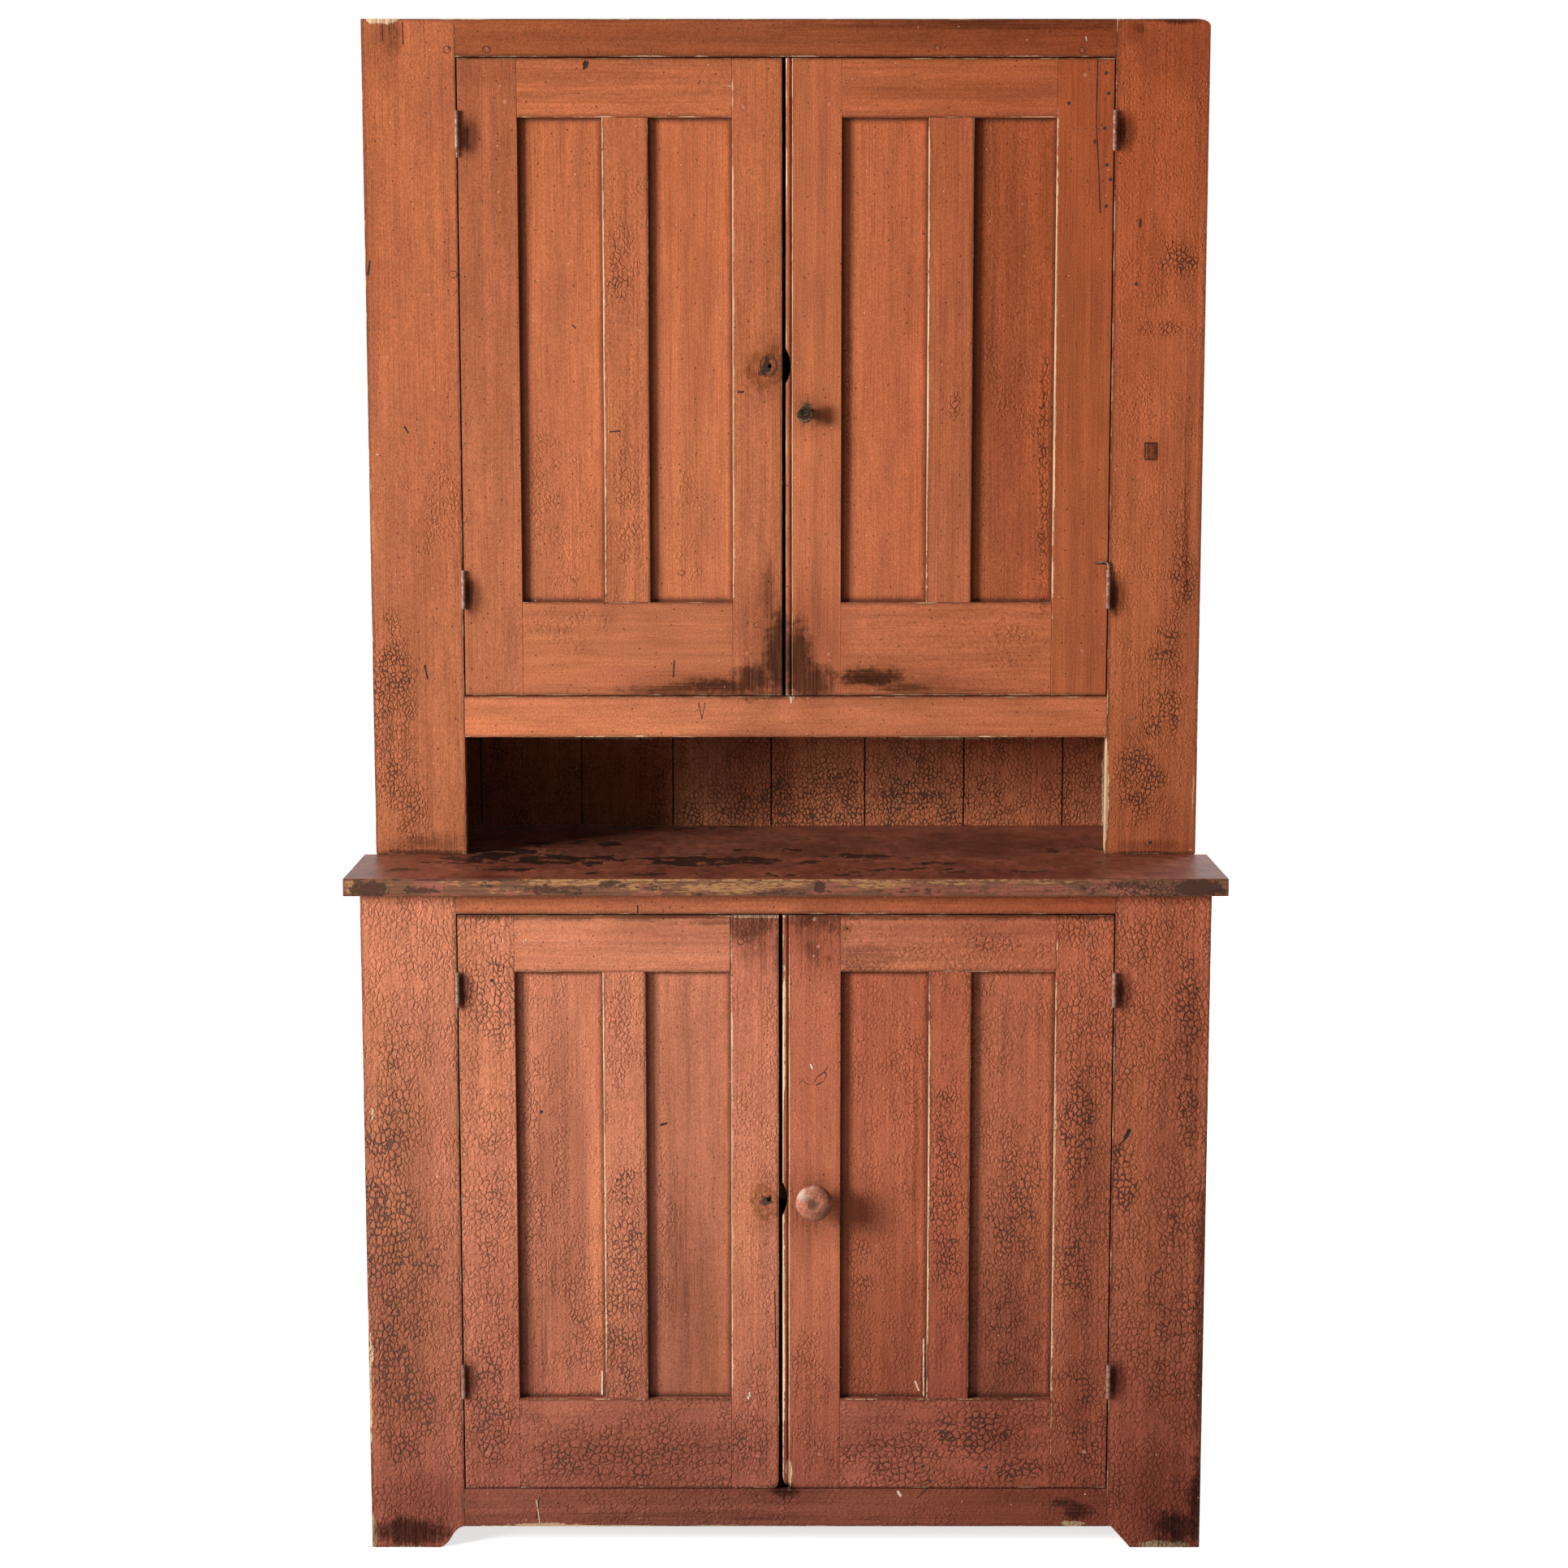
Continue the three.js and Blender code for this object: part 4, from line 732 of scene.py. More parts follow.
def new_material(name):
    """An empty material's graph and its surface, with object coordinates."""
    material = bpy.data.materials.new(name)
    material.use_nodes = True
    material.node_tree.nodes.clear()
    graph = Graph(material.node_tree)
    output = graph.node("ShaderNodeOutputMaterial")
    surface = graph.node("ShaderNodeBsdfPrincipled")
    graph.feed(output.inputs["Surface"], surface.outputs["BSDF"])
    place = graph.node("ShaderNodeTexCoord").outputs["Object"]
    return material, graph, surface, place


def finish_surface(graph, surface, colour, rough, gloss, height=None, depth=PAINT_DEPTH):
    """Gives a surface its colour, roughness, gloss and, from a height, its bumps."""
    graph.feed(surface.inputs["Base Color"], colour)
    graph.feed(surface.inputs["Roughness"], rough)
    surface.inputs["Specular IOR Level"].default_value = gloss
    if height is not None:
        bumps = graph.node("ShaderNodeBump", inputs={
            "Strength": 1.0, "Distance": depth, "Height": height,
        }).outputs["Normal"]
        graph.feed(surface.inputs["Normal"], bumps)


def marks_on_top(marks):
    """Centre, reach and strength in metres of marks on the counter's upper face."""
    found = []
    for u, v, half_width, half_height, strength in marks:
        centre, side, back = (seen_level(u + across, v - up, COUNTER_TOP)
                              for across, up in ((0, 0), (half_width, 0), (0, half_height)))
        found.append((centre, (side.x - centre.x, back.y - centre.y, 0.008), strength))
    return found


def marks_on(marks, low, high):
    """Centre, reach and strength in metres of the marks that lie on a board's front."""
    found = []
    for u, v, half_width, half_height, strength in marks:
        centre = seen(u, v, low.y)
        corner = seen(u + half_width, v - half_height, low.y)
        wide = corner.x - centre.x
        tall = corner.z - centre.z
        beside = centre.x - 1.3 * wide > high.x or centre.x + 1.3 * wide < low.x
        apart = centre.z - 1.3 * tall > high.z or centre.z + 1.3 * tall < low.z
        if not beside and not apart:
            found.append((centre, (wide, THROUGH, tall), strength))
    return found


def strips_on(board, marks):
    """Marks of a table that lie on a board, or none for a board that the view does not show."""
    return marks_on(marks, board.low, board.high) if board.in_view else []


def gathered(graph, place, ragged, marks, start):
    """One mask of several patches."""
    mask = start
    for centre, reach, strength in marks:
        mask = graph.group(
            "patch", Position=place, Ragged=ragged, Before=mask,
            Centre=centre, Reach=reach, Strength=strength,
        )["Mask"]
    return mask


def painted_light_falloff(graph, place, row):
    """Painted light falloff: the colour factor at a place of a case, lighter or darker as the key light
    falls off across it.
    """
    x, _, z = graph.parts(place)
    top_left, top_right, bottom_left, bottom_right = PAINTED_FALLOFF_FACTORS[row]
    across = graph.ease(x, -0.15, 0.50)
    up = graph.ease(z, *PAINTED_FALLOFF_HEIGHTS[row])
    return graph.blend(up, graph.blend(across, bottom_left, bottom_right),
                       graph.blend(across, top_left, top_right))


def ovals_on(graph, group, place, ragged, places, board):
    """One mask of the knots or rings that lie on a board's front."""
    mask = 0.0
    for centre, reach, _ in strips_on(board, [(*oval, 1.0) for oval in places]):
        mask = graph.group(group, Position=place, Ragged=ragged, Before=mask,
                           Centre=centre, Reach=reach)["Mask"]
    return mask


def edge_distance(graph, place, box):
    return graph.group("edge_distance", Position=place, Low=box[0], High=box[1])


def strokes_on(graph, place, ragged, strokes, board):
    """One mask of the strokes that lie on a board's front."""
    mask = 0.0
    low, high = board.low, board.high
    for u0, v0, u1, v1, half_width in (strokes if board.in_view else ()):
        start = seen(u0, v0, low.y)
        end = seen(u1, v1, low.y)
        on_board = low.x <= (start.x + end.x) / 2 <= high.x and low.z <= (start.z + end.z) / 2 <= high.z
        if on_board:
            run = end - start
            width = seen(u0 + half_width, v0, low.y).x - start.x
            mask = graph.group(
                "stroke", Position=place, Ragged=ragged, Before=mask, Start=start, Run=run,
                Inverse=run / run.length_squared, Width=width,
            )["Mask"]
    return mask


class Board:
    """What a board's finish has to know: what is in sight, free arrises, grain and cracks."""

    def __init__(self, node, low=None, high=None, free=(True, True, True, True)):
        box_low, box_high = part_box(node)
        self.node = node
        self.row = "upper" if box_high.z > COUNTER_TOP + STEP else "lower"
        self.low = low or box_low
        self.high = high or box_high
        self.free = free
        self.stretch = UPRIGHT
        self.cell = (*CELLS.get(node, (0.0066, 0.0088)), 1.0)
        self.crack_tint = 1.9 if node.startswith("lower_left") else 1.0
        self.crackle = BASE_CRACKLE.get(node, 0.24 if node.startswith("lower") else 0.07)
        self.brush = 0.7 if node.startswith("lower") else 1.0
        tint = TONES_AND_PAINTED_SHADE.get(node, 1.0)
        self.tint = tint if isinstance(tint, tuple) else (tint, tint, tint)
        self.raw = shades().raw_wood
        self.corners = False
        self.in_view = True
        self.painted = []
        self.extra_bare_and_highlight = []
        self.extra_dirt_and_shade = []
        self.extra_crackle = []
        self.seed = sum(ord(letter) for letter in node) % 97 * 0.731

    def arris_limits(self):
        """The board's limits, with the sides that have no free arris moved out of the way."""
        left, right, bottom, top = self.free
        low = Vector((
            self.low.x - (0 if left else FAR), self.low.y, self.low.z - (0 if bottom else FAR),
        ))
        high = Vector((
            self.high.x + (0 if right else FAR), self.low.y + FAR, self.high.z + (0 if top else FAR),
        ))
        return low, high


def painted_material(board, paint, deep):
    """Aged paint for one board, with the marks that fall on it and bare wood where unpainted."""
    colours = shades()
    material, graph, surface, place = new_material("finish_" + board.node)
    coarse_rag = graph.noise(place, 16.0, 3.0, 0.6)
    fine_rag = graph.noise(place, 95.0, 6.0, 0.7)
    ragged = graph.between(0.5, coarse_rag, fine_rag)
    found = strips_on(board, CRACKLE_MARKS) + board.extra_crackle
    cracked = gathered(graph, place, ragged, found, board.crackle)
    # Grime and stains, with painted shadows beside the hinges and painted shade along the quirk and below
    # the counter
    grime_and_shadow = gathered(graph, place, ragged, strips_on(board, GRIME_AND_SHADOW_MARKS) + board.extra_dirt_and_shade, 0.0)
    knotted = ovals_on(graph, "knot", place, ragged, KNOT_PLACES, board)
    ringed = ovals_on(graph, "ring", place, ragged, RING_PLACES, board)
    rubbed = gathered(graph, place, ragged, strips_on(board, BARE_MARKS) + board.extra_bare_and_highlight, 0.0)
    arris = edge_distance(graph, place, board.arris_limits())["Arris"]
    corner = FAR
    if board.corners:
        wide = Vector((0.0, FAR, 0.0))
        corner = edge_distance(graph, place, (board.low - wide, board.high + wide))["Nearest"]
    height_up = graph.parts(place)[2]
    # Darker towards the floor: dirt, and painted shade where the light falls off towards the bottom
    foot = graph.ease(height_up, 0.0, 0.55, 0.85, 0.0)
    # Each board's tone, partly its own and partly painted shade and light
    paint, deep = (tuple(value * share for value, share in zip(colour, board.tint))
                   for colour in (paint, deep))
    base = graph.blend(foot, paint, deep)
    # Painted light falloff across the case
    base = graph.tinted(base, painted_light_falloff(graph, place, board.row))
    # Soft darkening: stains and painted shade
    shadowed = gathered(graph, place, 0.5, strips_on(board, SHADE_MARKS), 0.0)
    base = graph.blend(shadowed, base, graph.tinted(base, (0.42, 0.36, 0.36)))
    raw = graph.shade(board.raw, graph.ease(height_up, 0.0, 0.09, 0.50, 1.0))
    darker = tuple(low / high for low, high in zip(deep, paint))
    coat = graph.group(
        "aged_paint", Position=place, Stretch=board.stretch, Seed=board.seed, Cell=board.cell,
        Ragged=ragged, Paint=base, Deep=graph.tinted(base, darker), Raw=raw,
        Crack=Vector(colours.crack) * board.crack_tint, Grime=colours.grime_and_shade, Arris=arris,
        Corner=corner, Crackle=cracked, Dirt=grime_and_shadow, Bare=rubbed, Knot=knotted, Brush=board.brush,
    )
    colour, rough, height = coat["Color"], coat["Roughness"], coat["Height"]
    cut = strokes_on(graph, place, ragged, DARK_STROKES, board)
    drip = strokes_on(graph, place, ragged, PALE_STROKES, board)
    cut = graph.most(cut, ringed)
    colour = graph.blend(cut, colour, colours.crack)
    colour = graph.blend(drip, colour, colours.fleck)
    height = graph.math("ADD", height, graph.math("SUBTRACT", drip, cut))
    if board.painted:
        cover = 0.0
        for region in board.painted:
            cover = graph.most(cover, edge_distance(graph, place, region)["Inside"])
        tone = graph.node("ShaderNodeAttribute", attribute_name="board_tone").outputs["Fac"]
        wood = graph.shade(colours.inside_wood, graph.math("SUBTRACT", 1.0, tone))
        pine = graph.group(
            "bare_pine", Position=place, Stretch=board.stretch,
            Seed=graph.scaled(tone, 31.0, board.seed), Wood=wood,
        )
        colour = graph.blend(cover, pine["Color"], colour)
        rough = graph.between(cover, pine["Roughness"], rough)
        height = graph.between(cover, pine["Height"], height)
    finish_surface(graph, surface, colour, rough, 0.06, height)
    return material


def pine_material(name, stretch, seed):
    material, graph, surface, place = new_material(name)
    pine = graph.group(
        "bare_pine", Position=place, Stretch=stretch, Seed=seed,
        Wood=shades().inside_wood,
    )
    finish_surface(graph, surface, pine["Color"], pine["Roughness"], 0.3, pine["Height"])
    return material


def iron_material(name, colour, paint, metallic):
    """Old iron, partly under paint in noisy patches, metallic where bare."""
    material, graph, surface, place = new_material(name)
    coarse = graph.noise(place, 160.0, 5.0, 0.7)
    fine = graph.noise(place, 900.0, 4.0, 0.65)
    cover = graph.ease(coarse, 0.42, 0.58)
    shade = graph.blend(cover, colour, paint)
    shade = graph.shade(shade, graph.vary(fine, 0.65, 1.25))
    height = graph.scaled(fine, 0.35, coarse)
    finish_surface(graph, surface, shade, graph.vary(fine, 0.36, 0.6), 0.12, height, 0.0004)
    uncovered = graph.math("SUBTRACT", 1.0, cover)
    graph.feed(surface.inputs["Metallic"], graph.times(uncovered, metallic))
    return material


def dark_hole_material(name):
    material, graph, surface, place = new_material(name)
    speck = graph.noise(place, 500.0, 3.0)
    colour = graph.blend(speck, (0.012, 0.007, 0.005), (0.035, 0.018, 0.012))
    finish_surface(graph, surface, colour, 0.85, 0.5, speck, 0.0002)
    return material


# Meshes

def body_of(node):
    for body, nodes in frame["record"]["behaviour"]["bodies"].items():
        if node in nodes:
            return body
    raise RuntimeError(f"no body holds {node}")


def new_piece(name, mesh, *materials):
    piece = bpy.data.objects.new(name, mesh)
    bpy.context.scene.collection.objects.link(piece)
    for material in materials:
        mesh.materials.append(material)
    return piece


def settle(piece):
    """Turns a piece with modifiers into a plain mesh."""
    depsgraph = bpy.context.evaluated_depsgraph_get()
    plain = bpy.data.meshes.new_from_object(piece.evaluated_get(depsgraph))
    piece.modifiers.clear()
    old = piece.data
    piece.data = plain
    plain.name = piece.name
    bpy.data.meshes.remove(old)
    return piece


def stands_for(piece, node):
    """A piece that takes the place of a node, on its body."""
    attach(piece, body_of(node))
    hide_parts(node)


def inside(point, low, high):
    return all(low[axis] <= point[axis] <= high[axis] for axis in range(3))


def finished_mesh(shape, name):
    mesh = bpy.data.meshes.new(name)
    shape.to_mesh(mesh)
    shape.free()
    return mesh


def eased_mesh(node, irons=(), round_shape=False):
    """A merged copy of a node's mesh in flat faces, with its long free arrises marked."""
    shape = bmesh.new()
    shape.from_mesh(frame["nodes"][node].data)
    bmesh.ops.remove_doubles(shape, verts=shape.verts, dist=WELD)
    bmesh.ops.dissolve_limit(
        shape, angle_limit=FLAT_ANGLE, verts=shape.verts, edges=shape.edges,
        use_dissolve_boundaries=False,
    )
    weights = shape.edges.layers.float.new("bevel_weight_edge")
    for face in shape.faces:
        centre = face.calc_center_median()
        iron = any(inside(centre, low, high) for low, high in irons)
        face.material_index = 1 if iron else 0
        face.smooth = round_shape or (iron and abs(face.normal.z) < 0.5)
    for edge in shape.edges:
        if len(edge.link_faces) != 2 or not edge.is_convex:
            continue
        on_iron = any(face.material_index for face in edge.link_faces)
        sharp = edge.calc_face_angle() > SHARP_ANGLE
        if sharp and not on_iron and edge.calc_length() > SHORTEST_ARRIS:
            edge[weights] = 1.0
        if sharp:
            edge.smooth = False
    mesh = finished_mesh(shape, "eased_" + node)
    for name in ("custom_normal", "sharp_face_copy"):
        if name in mesh.attributes:
            mesh.attributes.remove(mesh.attributes[name])
    while mesh.uv_layers:
        mesh.uv_layers.remove(mesh.uv_layers[0])
    return mesh


def eased_piece(node, arris, *materials, irons=(), round_shape=False):
    """The piece that stands for a CAD node, with its arrises eased by hand."""
    piece = new_piece("eased_" + node, eased_mesh(node, irons, round_shape), *materials)
    easing = piece.modifiers.new("easing", "BEVEL")
    easing.width = arris
    easing.segments = 2
    easing.limit_method = "WEIGHT"
    easing.use_clamp_overlap = False
    settle(piece)
    stands_for(piece, node)


def turned_mesh(name, profile, steps):
    """A shape turned about the y axis from (radius, depth) pairs that begin and end on the axis."""
    shape = bmesh.new()
    rings = []
    for radius, depth in profile:
        if radius == 0:
            rings.append([shape.verts.new((0.0, depth, 0.0))])
            continue
        ring = []
        for step in range(steps):
            turn = 2 * math.pi * step / steps
            ring.append(shape.verts.new((radius * math.cos(turn), depth, radius * math.sin(turn))))
        rings.append(ring)
    for first, second in zip(rings, rings[1:]):
        for step in range(steps):
            following = (step + 1) % steps
            corners = [first[step % len(first)], second[step % len(second)],
                       second[following % len(second)], first[following % len(first)]]
            shape.faces.new(list(dict.fromkeys(corners)))
    bmesh.ops.recalc_face_normals(shape, faces=shape.faces)
    for face in shape.faces:
        face.smooth = True
    return finished_mesh(shape, name)


# Geometry Nodes

def new_tree(name, inputs):
    """A geometry tree with a geometry in and out and named inputs."""
    tree = bpy.data.node_groups.new(name, "GeometryNodeTree")
    tree.interface.new_socket(name="Geometry", in_out="INPUT", socket_type="NodeSocketGeometry")
    for label, kind in inputs.items():
        tree.interface.new_socket(name=label, in_out="INPUT", socket_type=kind)
    tree.interface.new_socket(name="Geometry", in_out="OUTPUT", socket_type="NodeSocketGeometry")
    graph = Graph(tree)
    given = graph.node("NodeGroupInput").outputs
    result = graph.node("NodeGroupOutput").inputs
    return graph, given, result


def point_value(graph, name):
    """A value that the points carry."""
    return graph.node("GeometryNodeInputNamedAttribute", data_type="FLOAT", inputs={
        "Name": name,
    }).outputs["Attribute"]


def random_value(graph, seed, highest):
    """A value from nought up, drawn for each point."""
    made = graph.node("FunctionNodeRandomValue", data_type="FLOAT", inputs={"Seed": seed})
    made.inputs[2].default_value = 0.0
    made.inputs[3].default_value = highest
    return made.outputs[1]


def instances(graph, given, shape, **inputs):
    return graph.node("GeometryNodeInstanceOnPoints", inputs={
        "Points": given["Geometry"], "Instance": shape, **inputs,
    }).outputs["Instances"]


def finish_tree(graph, given, result, copies, smooth):
    """Makes the copies one mesh with the given material."""
    solid = graph.node("GeometryNodeRealizeInstances", inputs={"Geometry": copies}).outputs["Geometry"]
    if smooth:
        solid = graph.node("GeometryNodeSetShadeSmooth", inputs={"Geometry": solid}).outputs["Geometry"]
    graph.feed(result["Geometry"], graph.node("GeometryNodeSetMaterial", inputs={
        "Geometry": solid, "Material": given["Material"],
    }).outputs["Geometry"])


def make_stud_tree():
    """Heads set on points: nails, pegs and holes, each with its own radius and turn."""
    graph, given, result = new_tree("studs", {
        "Proud": "NodeSocketFloat", "Sides": "NodeSocketInt", "Material": "NodeSocketMaterial",
    })
    head = graph.node("GeometryNodeMeshUVSphere", inputs={
        "Segments": given["Sides"], "Rings": 6, "Radius": 1.0,
    }).outputs["Mesh"]
    radius = point_value(graph, "stud_radius")
    size = graph.combine(radius, given["Proud"], graph.times(radius, 0.88))
    facing = graph.combine(0.0, random_value(graph, 7, math.pi), 0.0)
    heads = instances(graph, given, head, Scale=size, Rotation=facing)
    finish_tree(graph, given, result, heads, True)


def make_board_tree():
    """Boards that stand side by side, each as wide as its point says."""
    graph, given, result = new_tree("lapped_boards", {
        "Height": "NodeSocketFloat", "Thickness": "NodeSocketFloat", "Joint": "NodeSocketFloat",
        "Material": "NodeSocketMaterial",
    })
    board = graph.node("GeometryNodeMeshCube", inputs={"Size": (1.0, 1.0, 1.0)}).outputs["Mesh"]
    width = graph.math("SUBTRACT", point_value(graph, "board_width"), given["Joint"])
    size = graph.combine(width, given["Thickness"], given["Height"])
    boards = graph.node("GeometryNodeStoreNamedAttribute", data_type="FLOAT", domain="INSTANCE", inputs={
        "Geometry": instances(graph, given, board, Scale=size), "Name": "board_tone",
        "Value": random_value(graph, 11, 0.45),
    }).outputs["Geometry"]
    finish_tree(graph, given, result, boards, False)


def points_mesh(name, places, **attributes):
    """Loose points that carry values for a tree."""
    mesh = bpy.data.meshes.new(name)
    mesh.from_pydata([tuple(place) for place in places], [], [])
    for label, values in attributes.items():
        made = mesh.attributes.new(label, "FLOAT", "POINT")
        made.data.foreach_set("value", values)
    return mesh


def grown(name, mesh, tree_name, **values):
    """A plain piece that a tree makes from points."""
    piece = new_piece(name, mesh)
    tree = bpy.data.node_groups[tree_name]
    modifier = piece.modifiers.new("grown", "NODES")
    modifier.node_group = tree
    sockets = {item.name: item.identifier for item in tree.interface.items_tree if item.in_out == "INPUT"}
    for label, value in values.items():
        modifier[sockets[label]] = value
    return settle(piece)


def studs(name, body, places, radius, proud, sides, material):
    mesh = points_mesh(name, places, stud_radius=[radius] * len(places))
    piece = grown(name, mesh, "studs", Proud=proud, Sides=sides, Material=material)
    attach(piece, body)


# Boards of the case and the doors

def shifted(vector, x=0.0, y=0.0, z=0.0):
    return Vector((vector.x + x, vector.y + y, vector.z + z))


def everything():
    """Two corners with the whole cupboard between them."""
    return Vector((-1, -1, -1)) * THROUGH, Vector((1, 1, 1)) * THROUGH


def front_paint(board, face_only=False):
    """A frame member is painted in front and on its edges, and bare behind; a panel in front only."""
    low, high = everything()
    front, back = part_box(board.node)
    high.y = front.y + SKIN if face_only else back.y - SKIN
    board.painted = [(low, high)]


def paint_of(row):
    colours = shades()
    if row == "upper":
        return colours.upper_paint, colours.upper_deep
    return colours.lower_paint, colours.lower_deep


def door_board(row, hand, part):
    """A member of a door, with what its neighbours leave in sight."""
    stem = f"{row}_{hand}_door_"
    hinge_low, hinge_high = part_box(stem + "hinge_stile")
    lock_low, lock_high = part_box(stem + "lock_stile")
    left_x = hinge_high.x if hand == "left" else lock_high.x
    right_x = lock_low.x if hand == "left" else hinge_low.x
    bottom_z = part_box(stem + "bottom_rail")[1].z
    top_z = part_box(stem + "top_rail")[0].z
    muntin_low, muntin_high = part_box(stem + "muntin")
    node = stem + part
    low, high = (Vector(corner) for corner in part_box(node))
    board = Board(node, low, high)
    if part in ("hinge_stile", "lock_stile"):
        outer_left = (part == "hinge_stile") == (hand == "left")
        board.free = (outer_left, not outer_left, True, True)
        # Edges on the right of a panel face the light: bare wood and a painted highlight along them
        if (part == "lock_stile") == (hand == "left"):
            board.extra_bare_and_highlight = [lit_arris(right_x, low.y, bottom_z, top_z)]
        if part == "lock_stile" and hand == "right":
            sizes = bpy.context.scene.cupboard_sizes
            # Paint rubbed off the bead's crest and the arris beside the quirk, and a dark line along the
            # quirk as painted shade
            for offset, found in ((sizes.bead_edge, board.extra_bare_and_highlight), (sizes.quirk, board.extra_dirt_and_shade)):
                line = Vector((low.x + offset, low.y, (low.z + high.z) / 2))
                found.append((line, (0.0011, THROUGH, high.z - low.z), 0.66))
            crest = Vector((low.x + 0.0008, low.y, (low.z + high.z) / 2))
            worn = 0.70 if row == "lower" else 0.50
            board.extra_bare_and_highlight.append((crest, (0.0012, THROUGH, high.z - low.z), worn))
        low.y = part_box(stem + "top_rail")[0].y
    elif part in ("top_rail", "bottom_rail"):
        low.x, high.x = left_x, right_x
        board.free = (False, False, True, True)
        board.stretch = LEVEL
        board.cell = (0.0100, 0.0084, 1.0)
    elif part == "muntin":
        board.extra_bare_and_highlight = [lit_arris(low.x, low.y, bottom_z, top_z)]
        low.z, high.z = bottom_z, top_z
        board.free = (True, True, False, False)
    else:
        on_left = (part == "outer_panel") == (hand == "left")
        low.x = left_x if on_left else muntin_high.x
        high.x = muntin_low.x if on_left else right_x
        low.z, high.z = bottom_z, top_z
        board.free = (False, False, False, False)
        board.corners = True
    front_paint(board, part.endswith("panel"))
    # Tops of the lower doors darker below the counter: stains and painted shade
    if row == "lower" and part in DOOR_PARTS[:3]:
        middle = Vector(((low.x + high.x) / 2, low.y, high.z))
        drop = 0.042 if part == "lock_stile" else 0.010
        board.extra_dirt_and_shade.append((middle, (high.x - low.x, THROUGH, drop), 0.72))
    return board


def lit_arris(x, y, bottom, top):
    """Paint rubbed off the edge on the right of a panel, which faces the light, and a painted highlight
    there too.
    """
    return Vector((x, y, (bottom + top) / 2)), (0.0026, THROUGH, (top - bottom) * 0.68), 0.88


def hinge_zones(row, hand):
    """Room of the hinges of a door, and of the nail that stands in for a pin."""
    zones = []
    for level in LEVELS:
        low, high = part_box(f"{row}_{hand}_{level}_hinge")
        zones.append((shifted(low, -SKIN, -SKIN, -SKIN), shifted(high, SKIN, SKIN, SKIN)))
    low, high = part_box(f"{row}_{hand}_door_hinge_stile")
    rail_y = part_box(f"{row}_{hand}_door_top_rail")[0].y
    zones.append((shifted(low, -SKIN, -SKIN, -SKIN), Vector((high.x, rail_y - SKIN / 2, high.z))))
    return zones


def make_doors():
    sizes = bpy.context.scene.cupboard_sizes
    colours = shades()
    iron = iron_material("painted_iron", colours.iron, colours.iron_paint, 0.25)
    for row in ROWS:
        paint, deep = paint_of(row)
        for hand in HANDS:
            for part in DOOR_PARTS:
                board = door_board(row, hand, part)
                finish = painted_material(board, paint, deep)
                irons = hinge_zones(row, hand) if part == "hinge_stile" else ()
                beaded = part == "lock_stile" and hand == "right"
                arris = sizes.bead_arris if beaded else sizes.arris
                eased_piece(board.node, arris, finish, iron, irons=irons)


def make_case_frame():
    arris = bpy.context.scene.cupboard_sizes.case_arris
    for row, rails in (("upper", ("top_rail", "mid_rail")), ("lower", ("top_rail", "bottom_rail"))):
        paint, deep = paint_of(row)
        for hand in HANDS:
            board = Board(f"{row}_{hand}_case_stile")
            front_paint(board)
            eased_piece(board.node, arris, painted_material(board, paint, deep))
        left_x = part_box(f"{row}_left_case_stile")[1].x
        right_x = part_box(f"{row}_right_case_stile")[0].x
        for rail in rails:
            low, high = (Vector(corner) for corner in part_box(f"{row}_{rail}"))
            low.x, high.x = left_x, right_x
            board = Board(f"{row}_{rail}", low, high, (False, False, True, row == "upper"))
            board.stretch = LEVEL
            board.cell = (0.0095, 0.0075, 1.0)
            front_paint(board)
            eased_piece(board.node, arris, painted_material(board, paint, deep))


def make_sides():
    """Side boards: painted outside, and inside only where the niche shows them."""
    arris = bpy.context.scene.cupboard_sizes.case_arris
    for row in ROWS:
        paint, deep = paint_of(row)
        for hand in HANDS:
            board = Board(f"{row}_{hand}_side_board")
            board.in_view = False
            middle = (board.low + board.high) / 2
            for rise, back, reach, strength in SIDE_CRACKS[row]:
                spot = Vector((middle.x, board.low.y + back, rise))
                board.extra_crackle.append((spot, (FAR, reach, reach * 2.2), strength))
            foot = Vector((middle.x, middle.y, board.low.z))
            board.extra_dirt_and_shade = [(foot, (FAR, FAR, 0.10), 0.45)]
            low, high = everything()
            outer_low, outer_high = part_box(board.node)
            if hand == "left":
                high.x = outer_low.x + SKIN
            else:
                low.x = outer_high.x - SKIN
            board.painted = [(low, high)]
            if row == "upper":
                niche_low, niche_high = everything()
                niche_high.z = NICHE_TOP
                board.painted.append((niche_low, niche_high))
            eased_piece(board.node, arris, painted_material(board, paint, deep))


def make_shelves():
    """Floors, shelves and the top board, of bare pine."""
    arris = bpy.context.scene.cupboard_sizes.case_arris
    nodes = ("lower_floor_board", "lower_shelf", "upper_floor_board", "upper_shelf_1",
             "upper_shelf_2", "upper_top_board")
    for number, node in enumerate(nodes):
        eased_piece(node, arris, pine_material("pine_" + node, LEVEL, 3.1 * number + 1))


